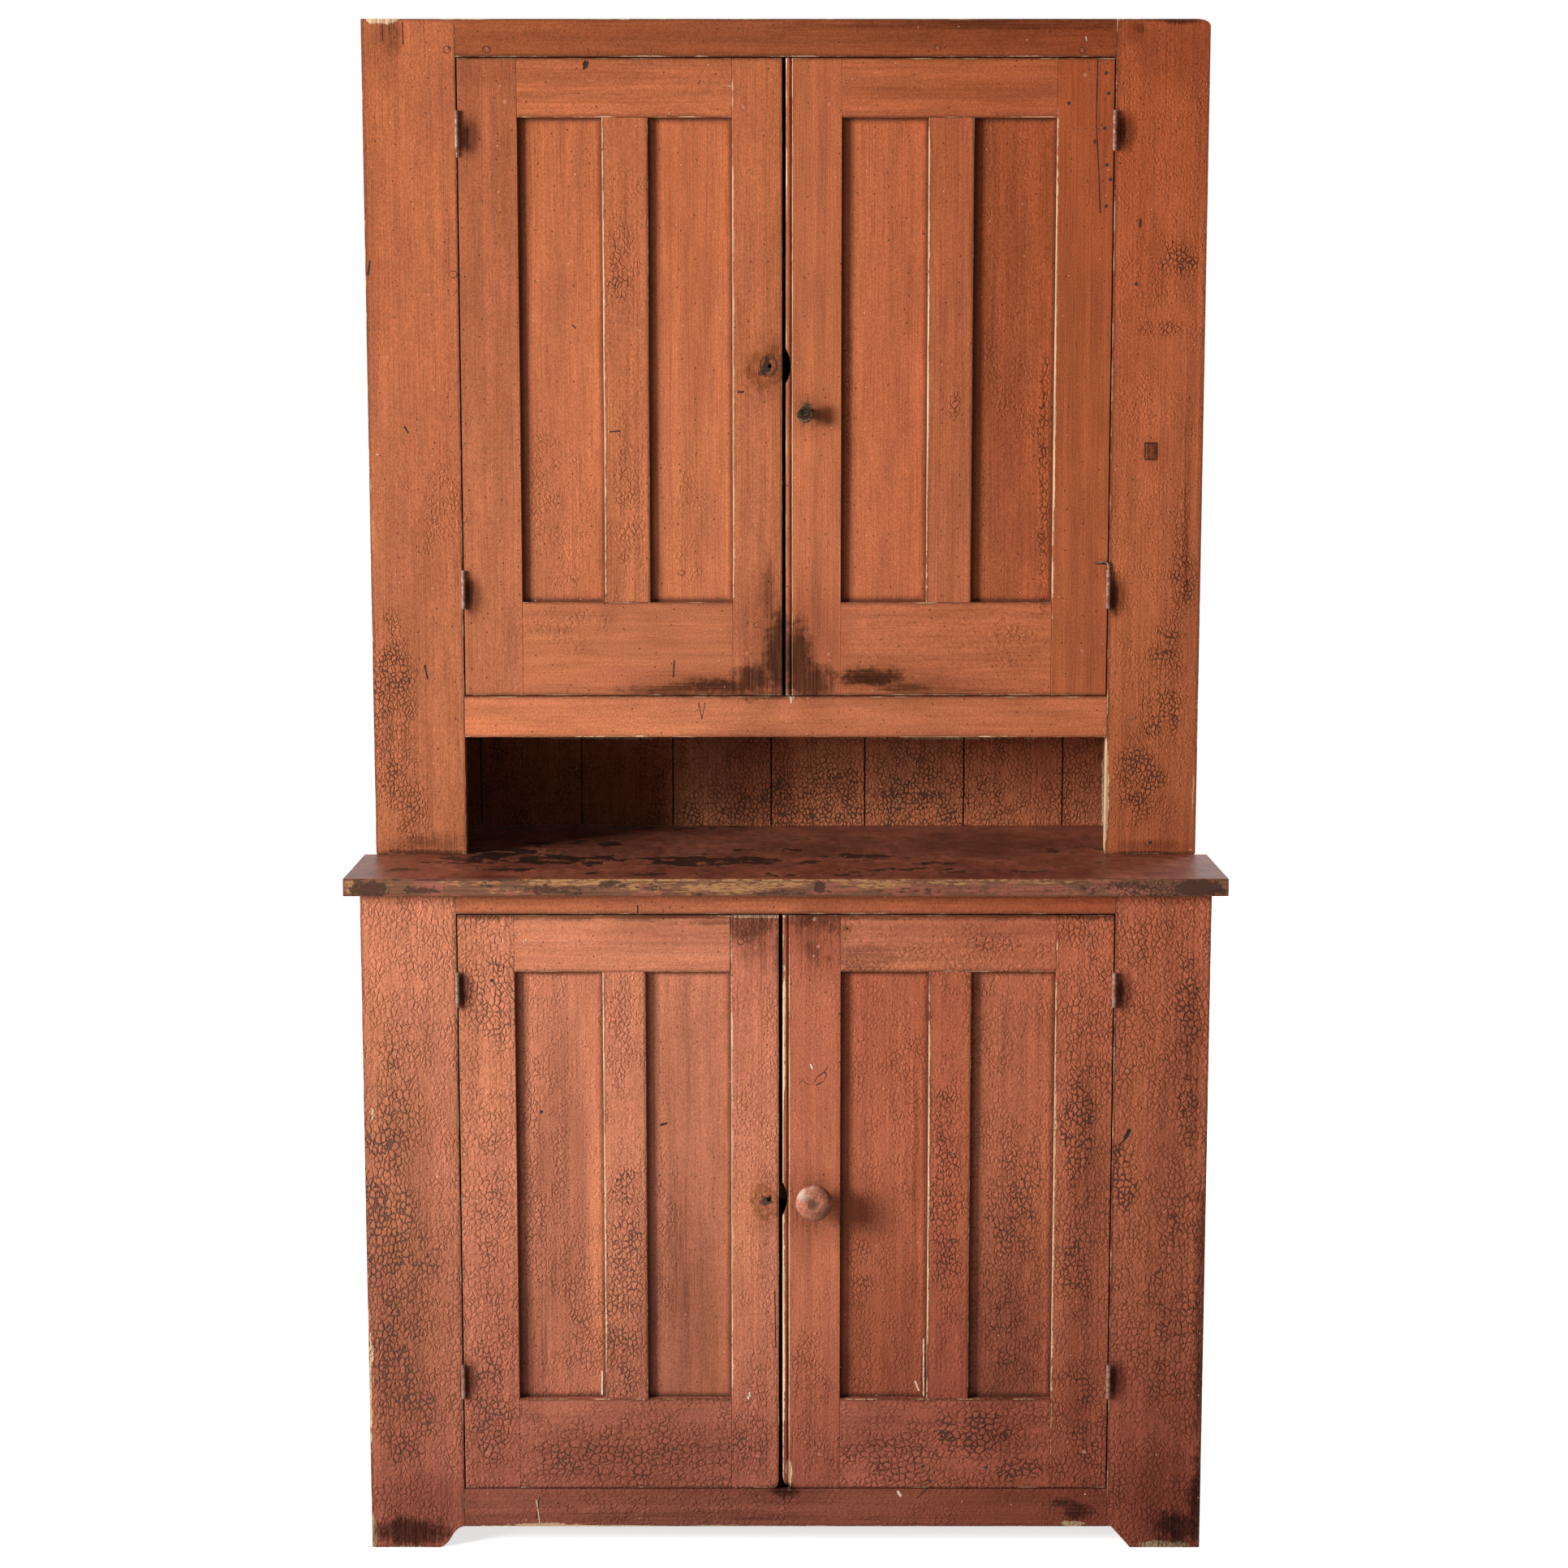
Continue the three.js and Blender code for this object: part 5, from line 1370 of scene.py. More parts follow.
def make_backs():
    """Backs of eight lapped boards each."""
    sizes = bpy.context.scene.cupboard_sizes
    for row in ROWS:
        node = f"{row}_back_boards"
        low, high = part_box(node)
        board = Board(node)
        board.low = Vector((low.x, low.y, COUNTER_TOP))
        board.high = Vector((high.x, high.y, NICHE_TOP))
        board.in_view = row == "upper"
        board.free = (False, False, False, False)
        board.cell = (0.0068, 0.0078, 1.0)
        front_low, front_high = everything()
        front_high.y = low.y + SKIN
        front_high.z = NICHE_TOP if row == "upper" else low.z - FAR
        board.painted = [(front_low, front_high)]
        deep = paint_of(row)[1]
        finish = painted_material(board, shades().back_paint, deep)
        wide = high.x - low.x
        deep_front = (high.y - low.y) * sizes.lap_depth_share
        layers = ((low.y + deep_front / 2, deep_front, 0.0),
                  (high.y - (high.y - low.y - deep_front) / 2, high.y - low.y - deep_front,
                   sizes.lap_width))
        pieces = []
        for layer, (middle_y, thick, lap) in enumerate(layers):
            places, widths = board_places(low, high, wide, middle_y, lap)
            mesh = points_mesh(f"{node}_{layer}", places, board_width=widths)
            pieces.append(grown(
                f"{row}_back_boards_layer_{layer}", mesh, "lapped_boards", Height=high.z - low.z,
                Thickness=thick, Joint=sizes.board_joint, Material=finish,
            ))
        for piece in pieces:
            stands_for(piece, node)


def board_places(low, high, wide, middle_y, lap):
    """Centres and widths of the boards of one layer of a back."""
    places, widths = [], []
    left = low.x
    for number, share in enumerate(BACK_BOARD_SHARES):
        last = number == len(BACK_BOARD_SHARES) - 1
        right = high.x if last else left + share * wide + (lap if number == 0 else 0.0)
        places.append(((left + right) / 2, middle_y, (low.z + high.z) / 2))
        widths.append(right - left)
        left = right
    return places, widths


def counter_top_finish(graph, place, fine):
    """Red paint worn through in crisp black-brown islands; colour and worn mask."""
    colours = shades()
    cloud = graph.noise(place, 9.0, 5.0, 0.6)
    wave = graph.noise(graph.tinted(place, (30.0, 34.0, 34.0)), 1.0, 4.0, 0.64)
    wave = graph.ease(wave, 0.30, 0.70)
    mottle = graph.noise(graph.tinted(place, (70.0, 40.0, 40.0)), 1.0, 4.0, 0.65)
    colour = graph.blend(graph.ease(cloud, 0.35, 0.68), colours.counter_paint, colours.counter_deep)
    colour = graph.shade(colour, graph.vary(fine, 0.86, 1.12))
    colour = graph.shade(colour, graph.vary(mottle, 0.62, 1.30))
    marked = gathered(graph, place, 0.5, marks_on_top(COUNTER_TOP_DARK), 0.0)
    field = graph.scaled(marked, 0.80, wave)
    rim = graph.times(graph.ease(field, 0.78, 0.92), graph.ease(field, 1.02, 0.96))
    colour = graph.blend(graph.times(rim, 0.30), colour, (0.50, 0.21, 0.12))
    worn = graph.ease(field, 0.96, 1.02)
    colour = graph.blend(graph.times(worn, 0.92), colour, colours.counter_black)
    return colour, worn


def counter_edge_finish(graph, place, ragged, fine, low, high):
    """The worn front edge: brown wood, red paint left in patches, ochre fibres and black ends."""
    colours = shades()
    wide = graph.noise(graph.tinted(place, (26.0, 60.0, 110.0)), 1.0, 5.0, 0.65)
    split = graph.noise(graph.tinted(place, (80.0, 460.0, 460.0)), 1.0, 5.0, 0.70)
    blot = graph.noise(graph.tinted(place, (90.0, 120.0, 190.0)), 1.0, 6.0, 0.7)
    red = gathered(graph, place, ragged, marks_on(COUNTER_EDGE_RED, low, high), 0.25)
    red = graph.ease(graph.scaled(red, 0.36, wide), 0.62, 0.74)
    colour = graph.blend(red, colours.counter_wood, colours.counter_red)
    colour = graph.shade(colour, graph.vary(fine, 0.62, 1.30))
    ochre = gathered(graph, place, 0.5, marks_on(COUNTER_EDGE_BARE, low, high), 0.10)
    ochre = graph.ease(graph.scaled(ochre, 0.28, split), 0.66, 0.80)
    colour = graph.blend(graph.times(ochre, 0.85), colour, colours.counter_raw)
    z = graph.parts(place)[2]
    arris = graph.ease(z, high.z - 0.0036, high.z - 0.0024)
    along = gathered(graph, place, 0.5, marks_on(COUNTER_ARRIS_BARE, low, high), 0.2)
    along = graph.ease(graph.scaled(along, 0.16, blot), 0.58, 0.70)
    arris = graph.times(arris, along)
    colour = graph.blend(graph.times(arris, 0.9), colour, colours.arris_wood)
    dark = gathered(graph, place, ragged, marks_on(COUNTER_EDGE_DARK, low, high), 0.15)
    dark = graph.ease(graph.scaled(dark, 0.40, blot), 0.68, 0.80)
    cracked = gathered(graph, place, ragged, marks_on(COUNTER_EDGE_CRACKED, low, high), 0.0)
    cracks = graph.group("crackle", Position=place, Cell=(0.0075, 0.0065, 1.0), Seed=3.0,
                         Strength=cracked)
    dark = graph.most(graph.times(dark, 0.90), cracks["Crack"])
    return graph.blend(dark, colour, colours.grime_and_shade), dark


def make_counter():
    """The counter: dark red and rubbed to a shine, worn to brown wood along its front edge."""
    colours = shades()
    material, graph, surface, place = new_material("finish_counter_top")
    low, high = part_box("counter_top")
    fine = graph.group("board_grain", Position=place, Stretch=LEVEL, Seed=4.0)["Fine"]
    ragged = graph.noise(place, 60.0, 5.0, 0.7)
    top, worn = counter_top_finish(graph, place, fine)
    edge, dark = counter_edge_finish(graph, place, ragged, fine, low, high)
    _, y, z = graph.parts(place)
    uneven = graph.scaled(ragged, 0.004, y)
    in_front = graph.ease(uneven, low.y + 0.0030, low.y + 0.0050, 1.0, 0.0)
    colour = graph.blend(in_front, top, edge)
    grit = graph.noise(place, 700.0, 3.0)
    colour = graph.shade(colour, graph.vary(grit, 0.86, 1.14))
    below = graph.ease(z, low.z + 0.0006, low.z - 0.0002)
    below = graph.most(below, graph.ease(y, high.y - 0.0012, high.y - 0.0004))
    pine = graph.group("bare_pine", Position=place, Stretch=LEVEL, Seed=9.0, Wood=colours.inside_wood)
    colour = graph.blend(below, colour, pine["Color"])
    rough = graph.between(worn, graph.vary(fine, 0.30, 0.42), 0.36)
    rough = graph.between(in_front, rough, 0.75)
    height = graph.scaled(fine, 0.45, graph.times(grit, 0.12))
    height = graph.scaled(graph.between(in_front, worn, dark), -0.35, height)
    finish_surface(graph, surface, colour, rough, 0.20, height)
    eased_piece("counter_top", bpy.context.scene.cupboard_sizes.counter_arris, material)


# Hardware

def make_hinges():
    colours = shades()
    iron = iron_material("painted_hinge", colours.iron, colours.iron_paint, 0.25)
    for row in ROWS:
        for hand in HANDS:
            for level in LEVELS:
                node = f"{row}_{hand}_{level}_hinge"
                eased_piece(node, SKIN / 3, iron, round_shape=True)


def make_wood_latch():
    """Turned knob in place of its plainer solid, and the turn bar behind the door."""
    low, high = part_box("lower_latch_knob")
    middle = (low + high) / 2
    front = LOWER_FRONT
    proud = front - low.y
    radius = (high.x - low.x) / 2
    rim = radius * 0.998
    shaft = 0.0067
    neck = 0.0120
    neck_front = -0.0105
    rim_front = -0.0275
    crown = 0.0085
    profile = [(0.0, high.y - front), (shaft, high.y - front), (shaft, -0.0003), (0.0150, -0.0003),
               (0.0152, -0.0012), (0.0150, -0.0030), (0.0138, -0.0042), (0.0122, -0.0060),
               (neck, neck_front)]
    steps = 14
    for step in range(1, steps + 1):
        share = step / steps
        profile.append((neck + (radius - neck) * share ** 1.9, neck_front - 0.0150 * share ** 0.8))
    profile.append((rim, rim_front))
    for step in range(1, steps + 1):
        turn = math.pi / 2 * step / steps
        profile.append((
            crown + (rim - crown) * math.cos(turn) ** 0.9,
            rim_front - (proud - 0.0281) * math.sin(turn),
        ))
    profile += [(0.0080, -(proud - 0.0009)), (0.0072, -(proud - 0.0012)), (0.0, -(proud - 0.0010))]
    mesh = turned_mesh("knob", profile, 72)
    for vertex in mesh.vertices:
        vertex.co += Vector((middle.x, front, middle.z))
    piece = new_piece("turned_knob", mesh, knob_material(middle))
    stands_for(piece, "lower_latch_knob")
    eased_piece("lower_latch_bar", 0.0008, pine_material("pine_latch_bar", UPRIGHT, 41.0))


def knob_material(middle):
    """The knob has the doors' paint, worn brown where fingers and its centre rub, with a painted highlight
    on its upper left, painted shade on its lower right, and darker towards the door.
    """
    colours = shades()
    material, graph, surface, place = new_material("knob_paint")
    away = graph.vector("SUBTRACT", place, middle)
    x, y, z = graph.parts(away)
    radius = graph.vector("LENGTH", graph.combine(x, 0.0, z))
    fine = graph.noise(place, 260.0, 5.0, 0.7)
    cloud = graph.noise(place, 60.0, 4.0)
    rings = graph.math("SINE", graph.times(radius, 5200.0))
    paint = graph.blend(graph.ease(cloud, 0.42, 0.62), colours.knob_paint, colours.knob_worn_and_shade)
    colour = graph.shade(paint, graph.vary(fine, 0.55, 1.40))
    heart = graph.scaled(cloud, 0.014, radius)
    heart = graph.scaled(fine, 0.008, heart)
    worn = graph.ease(heart, 0.0120, 0.0205, 0.80, 0.0)
    colour = graph.blend(worn, colour, colours.knob_heart)
    # Painted highlight on the upper left and painted shade on the lower right
    lit = graph.math("SUBTRACT", z, x)
    pale = graph.times(graph.ease(lit, 0.010, 0.034, 0.0, 0.55), graph.ease(cloud, 0.36, 0.60))
    colour = graph.blend(pale, colour, colours.fleck)
    dull = graph.ease(lit, -0.004, -0.036, 0.0, 0.75)
    colour = graph.blend(dull, colour, colours.knob_worn_and_shade)
    behind = graph.ease(y, -0.028, -0.006, 0.0, 0.6)
    colour = graph.blend(behind, colour, colours.grime_and_shade)
    height = graph.scaled(rings, 0.08, fine)
    finish_surface(graph, surface, colour, graph.vary(fine, 0.42, 0.6), 0.08, height, 0.0006)
    return material


def iron_latch_material():
    """Dark bronze-brown iron with brighter rings about its axis: rubbed metal, and painted highlights on
    its rims.
    """
    colours = shades()
    material, graph, surface, place = new_material("dark_iron")
    joints = frame["record"]["behaviour"]["joints"]
    axis = next(joint["pos_m"] for joint in joints if joint["name"] == "upper_latch_turn")
    x, _, z = graph.parts(graph.vector("SUBTRACT", place, axis))
    radius = graph.vector("LENGTH", graph.combine(x, 0.0, z))
    coarse = graph.noise(place, 300.0, 4.0, 0.7)
    radius = graph.scaled(coarse, 0.0016, radius)
    inner = graph.times(graph.ease(radius, 0.0032, 0.0044), graph.ease(radius, 0.0056, 0.0044))
    outer = graph.ease(radius, 0.0088, 0.0108)
    # Brighter rings: rubbed metal and painted highlights
    bright = graph.times(graph.most(inner, outer), graph.ease(coarse, 0.35, 0.55))
    colour = graph.shade(colours.dark_iron, graph.vary(coarse, 0.4, 1.5))
    colour = graph.blend(graph.times(bright, 0.7), colour, colours.bright_iron)
    height = graph.scaled(bright, 0.6, coarse)
    finish_surface(graph, surface, colour, graph.vary(coarse, 0.5, 0.75), 0.10, height, 0.0008)
    return material


def make_iron_latch():
    eased_piece("upper_iron_latch", 0.0004, iron_latch_material(), round_shape=True)


def make_studs():
    """Pegs at the door joints, nail heads, nail holes and pale flecks, on the bodies they are in."""
    colours = shades()
    sizes = bpy.context.scene.cupboard_sizes
    dark = dark_hole_material("hole")
    nail = iron_material("nail_iron", colours.iron_paint, colours.upper_deep, 0.1)
    fleck, graph, surface, place = new_material("pale_fleck")
    speck = graph.noise(place, 900.0, 3.0)
    finish_surface(graph, surface, graph.shade(colours.fleck, graph.vary(speck, 0.8, 1.1)), 0.6, 0.5)
    kinds = (
        ("nails", NAIL_PLACES, sizes.nail_radius, 0.0007, 9, nail),
        ("holes", HOLE_PLACES, sizes.hole_radius, 0.00012, 9, dark),
        ("flecks", FLECK_PLACES, sizes.hole_radius * 0.4, 0.0004, 7, fleck),
    )
    for label, marks, radius, proud, sides, material in kinds:
        for body, row, places in by_body(marks):
            studs(f"{body}_{label}", body, places, radius, proud, sides, material)
    make_pegs()


def by_body(marks):
    """Body, row and places of the marks that lie on each body."""
    found = {}
    for u, v in marks:
        place = seen(u, v, front_at(v))
        found.setdefault(body_at(place), []).append(place)
    return [(body, "lower" if body.startswith("lower") else "upper", places)
            for body, places in found.items()]


def make_pegs():
    radius = bpy.context.scene.cupboard_sizes.peg_radius
    for body, row, places in by_body(PEG_PLACES):
        material, graph, surface, place = new_material(f"{body}_peg")
        fine = graph.noise(place, 500.0, 5.0, 0.7)
        paint, deep = paint_of(row)
        colour = graph.blend(fine, deep, paint)
        finish_surface(graph, surface, graph.shade(colour, 0.92), 0.6, 0.5, fine, 0.0003)
        studs(f"{body}_pegs", body, places, radius, 0.00035, 14, material)


def body_at(place):
    """Body of the door or case that a point of the front lies on."""
    row = "upper" if place.z > COUNTER_TOP else "lower"
    for hand in HANDS:
        stem = f"{row}_{hand}_door_"
        xs = [corner.x for part in ("hinge_stile", "lock_stile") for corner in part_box(stem + part)]
        low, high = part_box(stem + "hinge_stile")
        if min(xs) < place.x < max(xs) and low.z < place.z < high.z:
            return f"{row}_{hand}_door"
    return "case"


def plug_mesh(name, centre, half_width, half_height, proud, corners):
    """A let-in piece with an eased rim, standing a little proud of what it is let into."""
    shape = bmesh.new()
    rings = []
    for inset, rise in ((0.0, 0.0004), (0.0, -proud * 0.5), (0.0006, -proud)):
        ring = []
        for number in range(corners):
            turn = 2 * math.pi * (number + 0.5) / corners
            stretch = 1 / max(abs(math.cos(turn)), abs(math.sin(turn))) if corners == 4 else 1.0
            ring.append(shape.verts.new((
                centre.x + (half_width - inset) * math.cos(turn) * stretch,
                centre.y + rise,
                centre.z + (half_height - inset) * math.sin(turn) * stretch,
            )))
        rings.append(ring)
    for first, second in zip(rings, rings[1:]):
        for number in range(corners):
            following = (number + 1) % corners
            shape.faces.new([first[number], first[following], second[following], second[number]])
    shape.faces.new(rings[0])
    shape.faces.new(rings[-1])
    bmesh.ops.recalc_face_normals(shape, faces=shape.faces)
    return finished_mesh(shape, name)


def make_plugs():
    """A wooden patch let into the upper right stile."""
    centre = seen(1418.5, 556, UPPER_FRONT)
    board = Board("upper_right_case_stile")
    board.node = "stile_plug"
    board.low = shifted(centre, -0.0068, 0.0, -0.0105)
    board.high = shifted(centre, 0.0068, 0.0, 0.0105)
    board.crackle = 0.25
    colours = shades()
    material = painted_material(board, Vector(colours.upper_paint) * 0.72, colours.upper_deep)
    mesh = plug_mesh("stile_plug", centre, 0.0066, 0.0102, 0.0005, 4)
    piece = new_piece("stile_plug", mesh, material)
    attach(piece, "case")


# Stage

def make_stage():
    """Pale floor, white background, key light from the left and the camera of the view."""
    scene = bpy.context.scene
    scene.view_settings.view_transform = "Standard"
    make_floor()
    make_world(scene)
    area_light("key_light", (-5.05, -3.3, 2.35), Vector((0.0, -0.1, 1.2)), 1.9, 520.0)
    area_light("rear_light", (3.6, 4.2, 2.6), Vector((0.0, 0.2, 1.0)), 2.0, 300.0)
    data = bpy.data.cameras.new("view")
    data.sensor_width = SENSOR_WIDTH
    data.lens = LENS_PIXELS / VIEW_PIXELS * SENSOR_WIDTH
    camera = bpy.data.objects.new("view", data)
    camera.location = EYE
    camera.rotation_euler = (math.pi / 2 - EYE_DROP, 0.0, 0.0)
    scene.collection.objects.link(camera)
    scene.camera = camera


def area_light(name, place, target, size, power):
    data = bpy.data.lights.new(name, "AREA")
    data.energy = power
    data.size = size
    lamp = bpy.data.objects.new(name, data)
    lamp.location = place
    lamp.rotation_euler = (target - Vector(place)).to_track_quat("-Z", "Y").to_euler()
    bpy.context.scene.collection.objects.link(lamp)


def seen_directly(graph):
    rays = graph.node("ShaderNodeLightPath").outputs
    seen_or_mirrored = graph.most(rays["Is Camera Ray"], rays["Is Glossy Ray"])
    return graph.most(seen_or_mirrored, rays["Is Transmission Ray"])


def make_floor():
    """A wide floor that is near white, and white away from the cupboard's shadow."""
    shape = bmesh.new()
    bmesh.ops.create_grid(shape, x_segments=2, y_segments=2, size=60.0)
    mesh = finished_mesh(shape, "floor")
    material = bpy.data.materials.new("floor")
    material.use_nodes = True
    material.node_tree.nodes.clear()
    graph = Graph(material.node_tree)
    place = graph.node("ShaderNodeTexCoord").outputs["Object"]
    reach = graph.vector("LENGTH", place)
    glow = graph.ease(reach, 0.9, 2.6, 0.72, 1.0)
    diffuse = graph.node("ShaderNodeBsdfDiffuse", inputs={"Color": (0.7, 0.7, 0.7)})
    light = graph.node("ShaderNodeEmission", inputs={
        "Strength": graph.times(glow, seen_directly(graph)),
    })
    both = graph.node("ShaderNodeAddShader", inputs={0: diffuse.outputs[0], 1: light.outputs[0]})
    output = graph.node("ShaderNodeOutputMaterial")
    graph.feed(output.inputs["Surface"], both.outputs[0])
    floor = new_piece("floor", mesh, material)


def make_world(scene):
    world = bpy.data.worlds.new("studio")
    scene.world = world
    world.use_nodes = True
    world.node_tree.nodes.clear()
    graph = Graph(world.node_tree)
    strength = graph.between(seen_directly(graph), 0.09, 1.0)
    background = graph.node("ShaderNodeBackground", inputs={
        "Color": (1.0, 1.0, 1.0), "Strength": strength,
    })
    output = graph.node("ShaderNodeOutputWorld")
    graph.feed(output.inputs["Surface"], background.outputs[0])


# Add-on

def size_property(label, text, default):
    return bpy.props.FloatProperty(
        name=label, description=text, default=default, min=0.0, unit="LENGTH", precision=5,
    )


def colour_property(label, text, default):
    return bpy.props.FloatVectorProperty(
        name=label, description=text, default=default, size=3, min=0.0, max=1.0, subtype="COLOR",
    )


class CupboardSizes(bpy.types.PropertyGroup):
    arris: size_property("Door arris", "How far the edges of the door frames are eased", 0.0006)
    bead_arris: size_property("Bead arris", "How far the edges of the beaded stiles are eased", 0.0004)
    counter_arris: size_property("Counter arris", "How far the edges of the counter are worn", 0.0020)
    case_arris: size_property("Case arris", "How far the edges of the case are eased", 0.0005)
    quirk: size_property("Quirk", "How far the quirk lies from a beaded stile's edge", 0.0078)
    bead_edge: size_property("Bead edge", "How far the arris beside the quirk lies from that edge", 0.0092)
    peg_radius: size_property("Peg radius", "Radius of the pegs in the door joints", 0.0034)
    nail_radius: size_property("Nail radius", "Radius of the nail heads", 0.0026)
    hole_radius: size_property("Hole radius", "Radius of the old nail holes", 0.0028)
    board_joint: size_property("Board joint", "Gap between two boards of a back", 0.0024)
    lap_width: size_property("Lap width", "How far a back board reaches behind the next", 0.012)
    lap_depth_share: bpy.props.FloatProperty(
        name="Lap depth share", description="Share of a back board's thickness in front of the lap",
        default=0.55, min=0.1, max=0.9, subtype="FACTOR",
    )


class CupboardColours(bpy.types.PropertyGroup):
    upper_paint: colour_property("Upper paint", "Paint of the upper case and doors", (0.545, 0.171, 0.077))
    back_paint: colour_property("Back paint", "Paint of the boards behind the niche", (0.46, 0.168, 0.084))
    upper_deep: colour_property("Upper deep", "Darker places of the upper paint", (0.41, 0.107, 0.045))
    lower_paint: colour_property("Lower paint", "Paint of the lower case and doors", (0.56, 0.180, 0.096))
    lower_deep: colour_property("Lower deep", "Darker places of the lower paint", (0.33, 0.086, 0.052))
    counter_paint: colour_property("Counter paint", "Paint of the counter", (0.34, 0.108, 0.062))
    counter_deep: colour_property("Counter deep", "Darker places of the counter", (0.18, 0.050, 0.030))
    raw_wood: colour_property("Raw wood", "Wood where the paint has gone", (0.84, 0.53, 0.31))
    counter_wood: colour_property("Counter wood", "Dirty wood of the counter's edge",
                                  (0.180, 0.075, 0.040))
    counter_red: colour_property("Counter red", "Paint left on the counter's edge", (0.30, 0.098, 0.060))
    counter_black: colour_property("Counter black", "Old wood in the counter's worn islands",
                                   (0.020, 0.011, 0.008))
    arris_wood: colour_property("Counter arris", "Bare wood along the counter's arris", (0.52, 0.27, 0.11))
    counter_raw: colour_property("Counter fibres", "Worn fibres of the counter's edge",
                                 (0.46, 0.225, 0.085))
    inside_wood: colour_property("Inside wood", "Bare pine of the inside and back", (0.45, 0.265, 0.135))
    crack: colour_property("Crack", "Bottom of the cracks in the paint", (0.050, 0.028, 0.021))
    # Also the colour of the painted shade in the corners of the panels
    grime_and_shade: colour_property("Grime", "Dirt from hands and in corners", (0.055, 0.023, 0.014))
    iron: colour_property("Iron", "Iron of the hinges", (0.34, 0.215, 0.165))
    iron_paint: colour_property("Iron paint", "Paint left on the hinges", (0.24, 0.095, 0.058))
    dark_iron: colour_property("Dark iron", "Iron of the upper latch", (0.036, 0.021, 0.012))
    # Also the painted highlights on the latch's rims
    bright_iron: colour_property("Bright iron", "Rubbed edges of the upper latch", (0.24, 0.125, 0.060))
    knob_paint: colour_property("Knob paint", "Paint of the knob", (0.46, 0.165, 0.098))
    # Also the painted shade on the knob's lower right
    knob_worn_and_shade: colour_property("Worn knob", "Darker places of the knob", (0.20, 0.080, 0.050))
    knob_heart: colour_property("Knob heart", "Rubbed centre of the knob", (0.075, 0.050, 0.032))
    # Also the painted highlight on the knob
    fleck: colour_property("Fleck", "Pale drips and flecks", (0.85, 0.66, 0.50))


class CUPBOARD_OT_patterns(bpy.types.Operator):
    """Makes the node groups that the finishes and repeated pieces share"""
    bl_idname = "cupboard.patterns"
    bl_label = "Shared patterns"

    def execute(self, context):
        make_groups()
        make_stud_tree()
        make_board_tree()
        return {"FINISHED"}


class CUPBOARD_OT_case_frame(bpy.types.Operator):
    """Makes the stiles and rails of both cases"""
    bl_idname = "cupboard.case_frame"
    bl_label = "Case frame"

    def execute(self, context):
        make_case_frame()
        return {"FINISHED"}


class CUPBOARD_OT_sides(bpy.types.Operator):
    """Makes the four side boards"""
    bl_idname = "cupboard.sides"
    bl_label = "Side boards"

    def execute(self, context):
        make_sides()
        return {"FINISHED"}


class CUPBOARD_OT_shelves(bpy.types.Operator):
    """Makes the floors, the shelves and the top board"""
    bl_idname = "cupboard.shelves"
    bl_label = "Shelves"

    def execute(self, context):
        make_shelves()
        return {"FINISHED"}


class CUPBOARD_OT_backs(bpy.types.Operator):
    """Makes the lapped boards of both backs"""
    bl_idname = "cupboard.backs"
    bl_label = "Back boards"

    def execute(self, context):
        make_backs()
        return {"FINISHED"}


class CUPBOARD_OT_counter(bpy.types.Operator):
    """Makes the counter top"""
    bl_idname = "cupboard.counter"
    bl_label = "Counter"

    def execute(self, context):
        make_counter()
        return {"FINISHED"}


class CUPBOARD_OT_doors(bpy.types.Operator):
    """Makes the frames and panels of the four doors"""
    bl_idname = "cupboard.doors"
    bl_label = "Doors"

    def execute(self, context):
        make_doors()
        return {"FINISHED"}


class CUPBOARD_OT_hinges(bpy.types.Operator):
    """Makes the eight butt hinges"""
    bl_idname = "cupboard.hinges"
    bl_label = "Hinges"

    def execute(self, context):
        make_hinges()
        return {"FINISHED"}


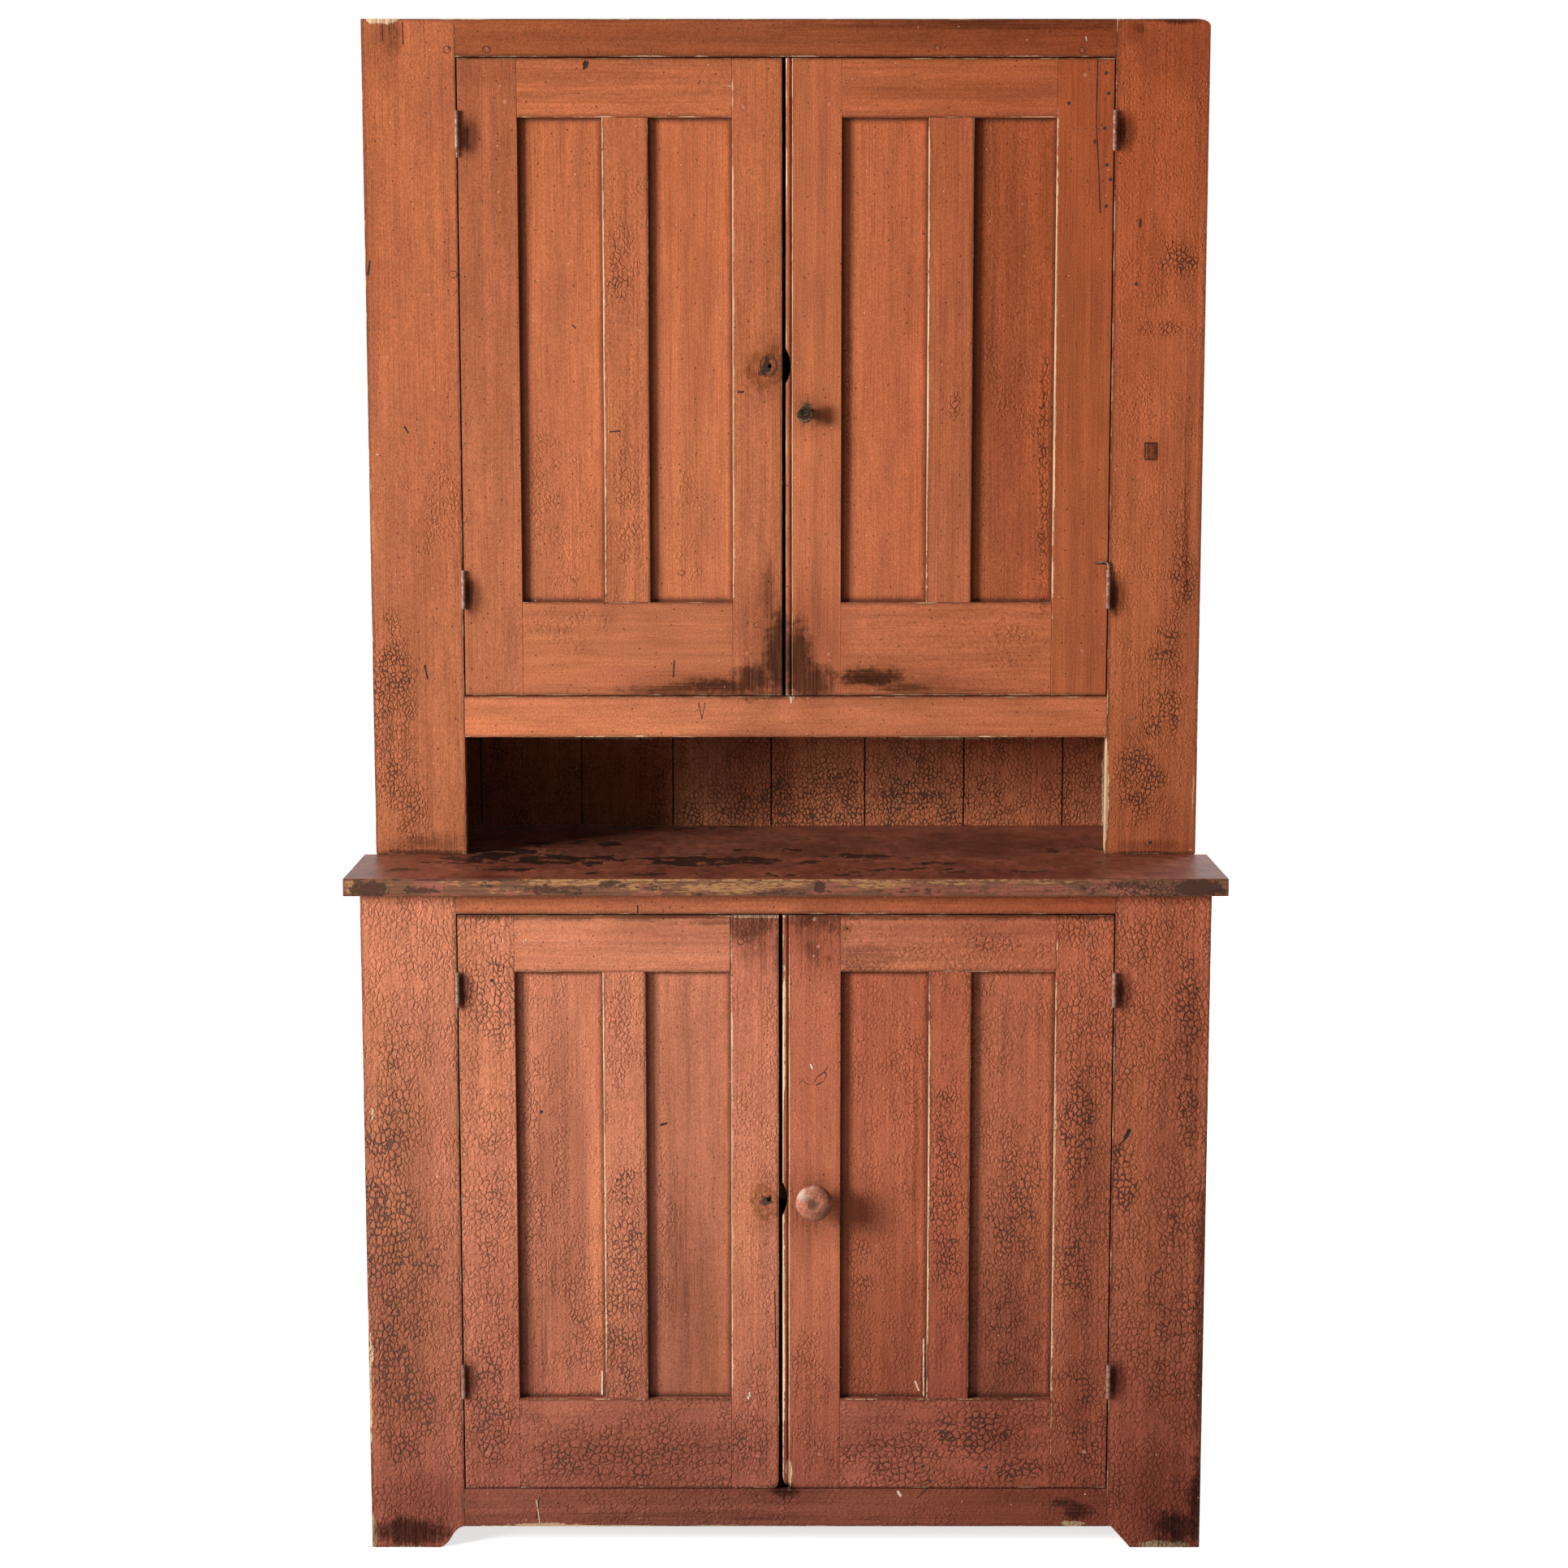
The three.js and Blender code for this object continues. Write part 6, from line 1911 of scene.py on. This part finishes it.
class CUPBOARD_OT_latches(bpy.types.Operator):
    """Makes the wooden knob with its bar and the iron latch"""
    bl_idname = "cupboard.latches"
    bl_label = "Latches"

    def execute(self, context):
        make_wood_latch()
        make_iron_latch()
        return {"FINISHED"}


class CUPBOARD_OT_studs(bpy.types.Operator):
    """Makes the pegs, nails, nail holes, flecks and the plug"""
    bl_idname = "cupboard.studs"
    bl_label = "Pegs and nails"

    def execute(self, context):
        make_studs()
        make_plugs()
        return {"FINISHED"}


class CUPBOARD_OT_stage(bpy.types.Operator):
    """Makes the floor, the background, the lights and the camera"""
    bl_idname = "cupboard.stage"
    bl_label = "Stage"

    def execute(self, context):
        make_stage()
        return {"FINISHED"}


OPERATORS = (
    CUPBOARD_OT_patterns, CUPBOARD_OT_case_frame, CUPBOARD_OT_sides, CUPBOARD_OT_shelves,
    CUPBOARD_OT_backs, CUPBOARD_OT_counter, CUPBOARD_OT_doors, CUPBOARD_OT_hinges,
    CUPBOARD_OT_latches, CUPBOARD_OT_studs, CUPBOARD_OT_stage,
)


class CUPBOARD_PT_panel(bpy.types.Panel):
    """Lists the steps that make the cupboard"""
    bl_label = "Step back cupboard"
    bl_idname = "CUPBOARD_PT_panel"
    bl_space_type = "VIEW_3D"
    bl_region_type = "UI"
    bl_category = "Cupboard"

    def draw(self, context):
        for group in (context.scene.cupboard_sizes, context.scene.cupboard_colours):
            for name in type(group).__annotations__:
                self.layout.prop(group, name)
        for operator in OPERATORS:
            self.layout.operator(operator.bl_idname)


CLASSES = (CupboardSizes, CupboardColours, *OPERATORS, CUPBOARD_PT_panel)


def register():
    for made in CLASSES:
        bpy.utils.register_class(made)
    bpy.types.Scene.cupboard_sizes = bpy.props.PointerProperty(type=CupboardSizes)
    bpy.types.Scene.cupboard_colours = bpy.props.PointerProperty(type=CupboardColours)


def unregister():
    del bpy.types.Scene.cupboard_colours
    del bpy.types.Scene.cupboard_sizes
    for made in reversed(CLASSES):
        bpy.utils.unregister_class(made)


def main():
    register()
    for operator in OPERATORS:
        family, step = operator.bl_idname.split(".")
        getattr(getattr(bpy.ops, family), step)()
    bpy.context.view_layer.update()


if __name__ == "__main__":
    main()
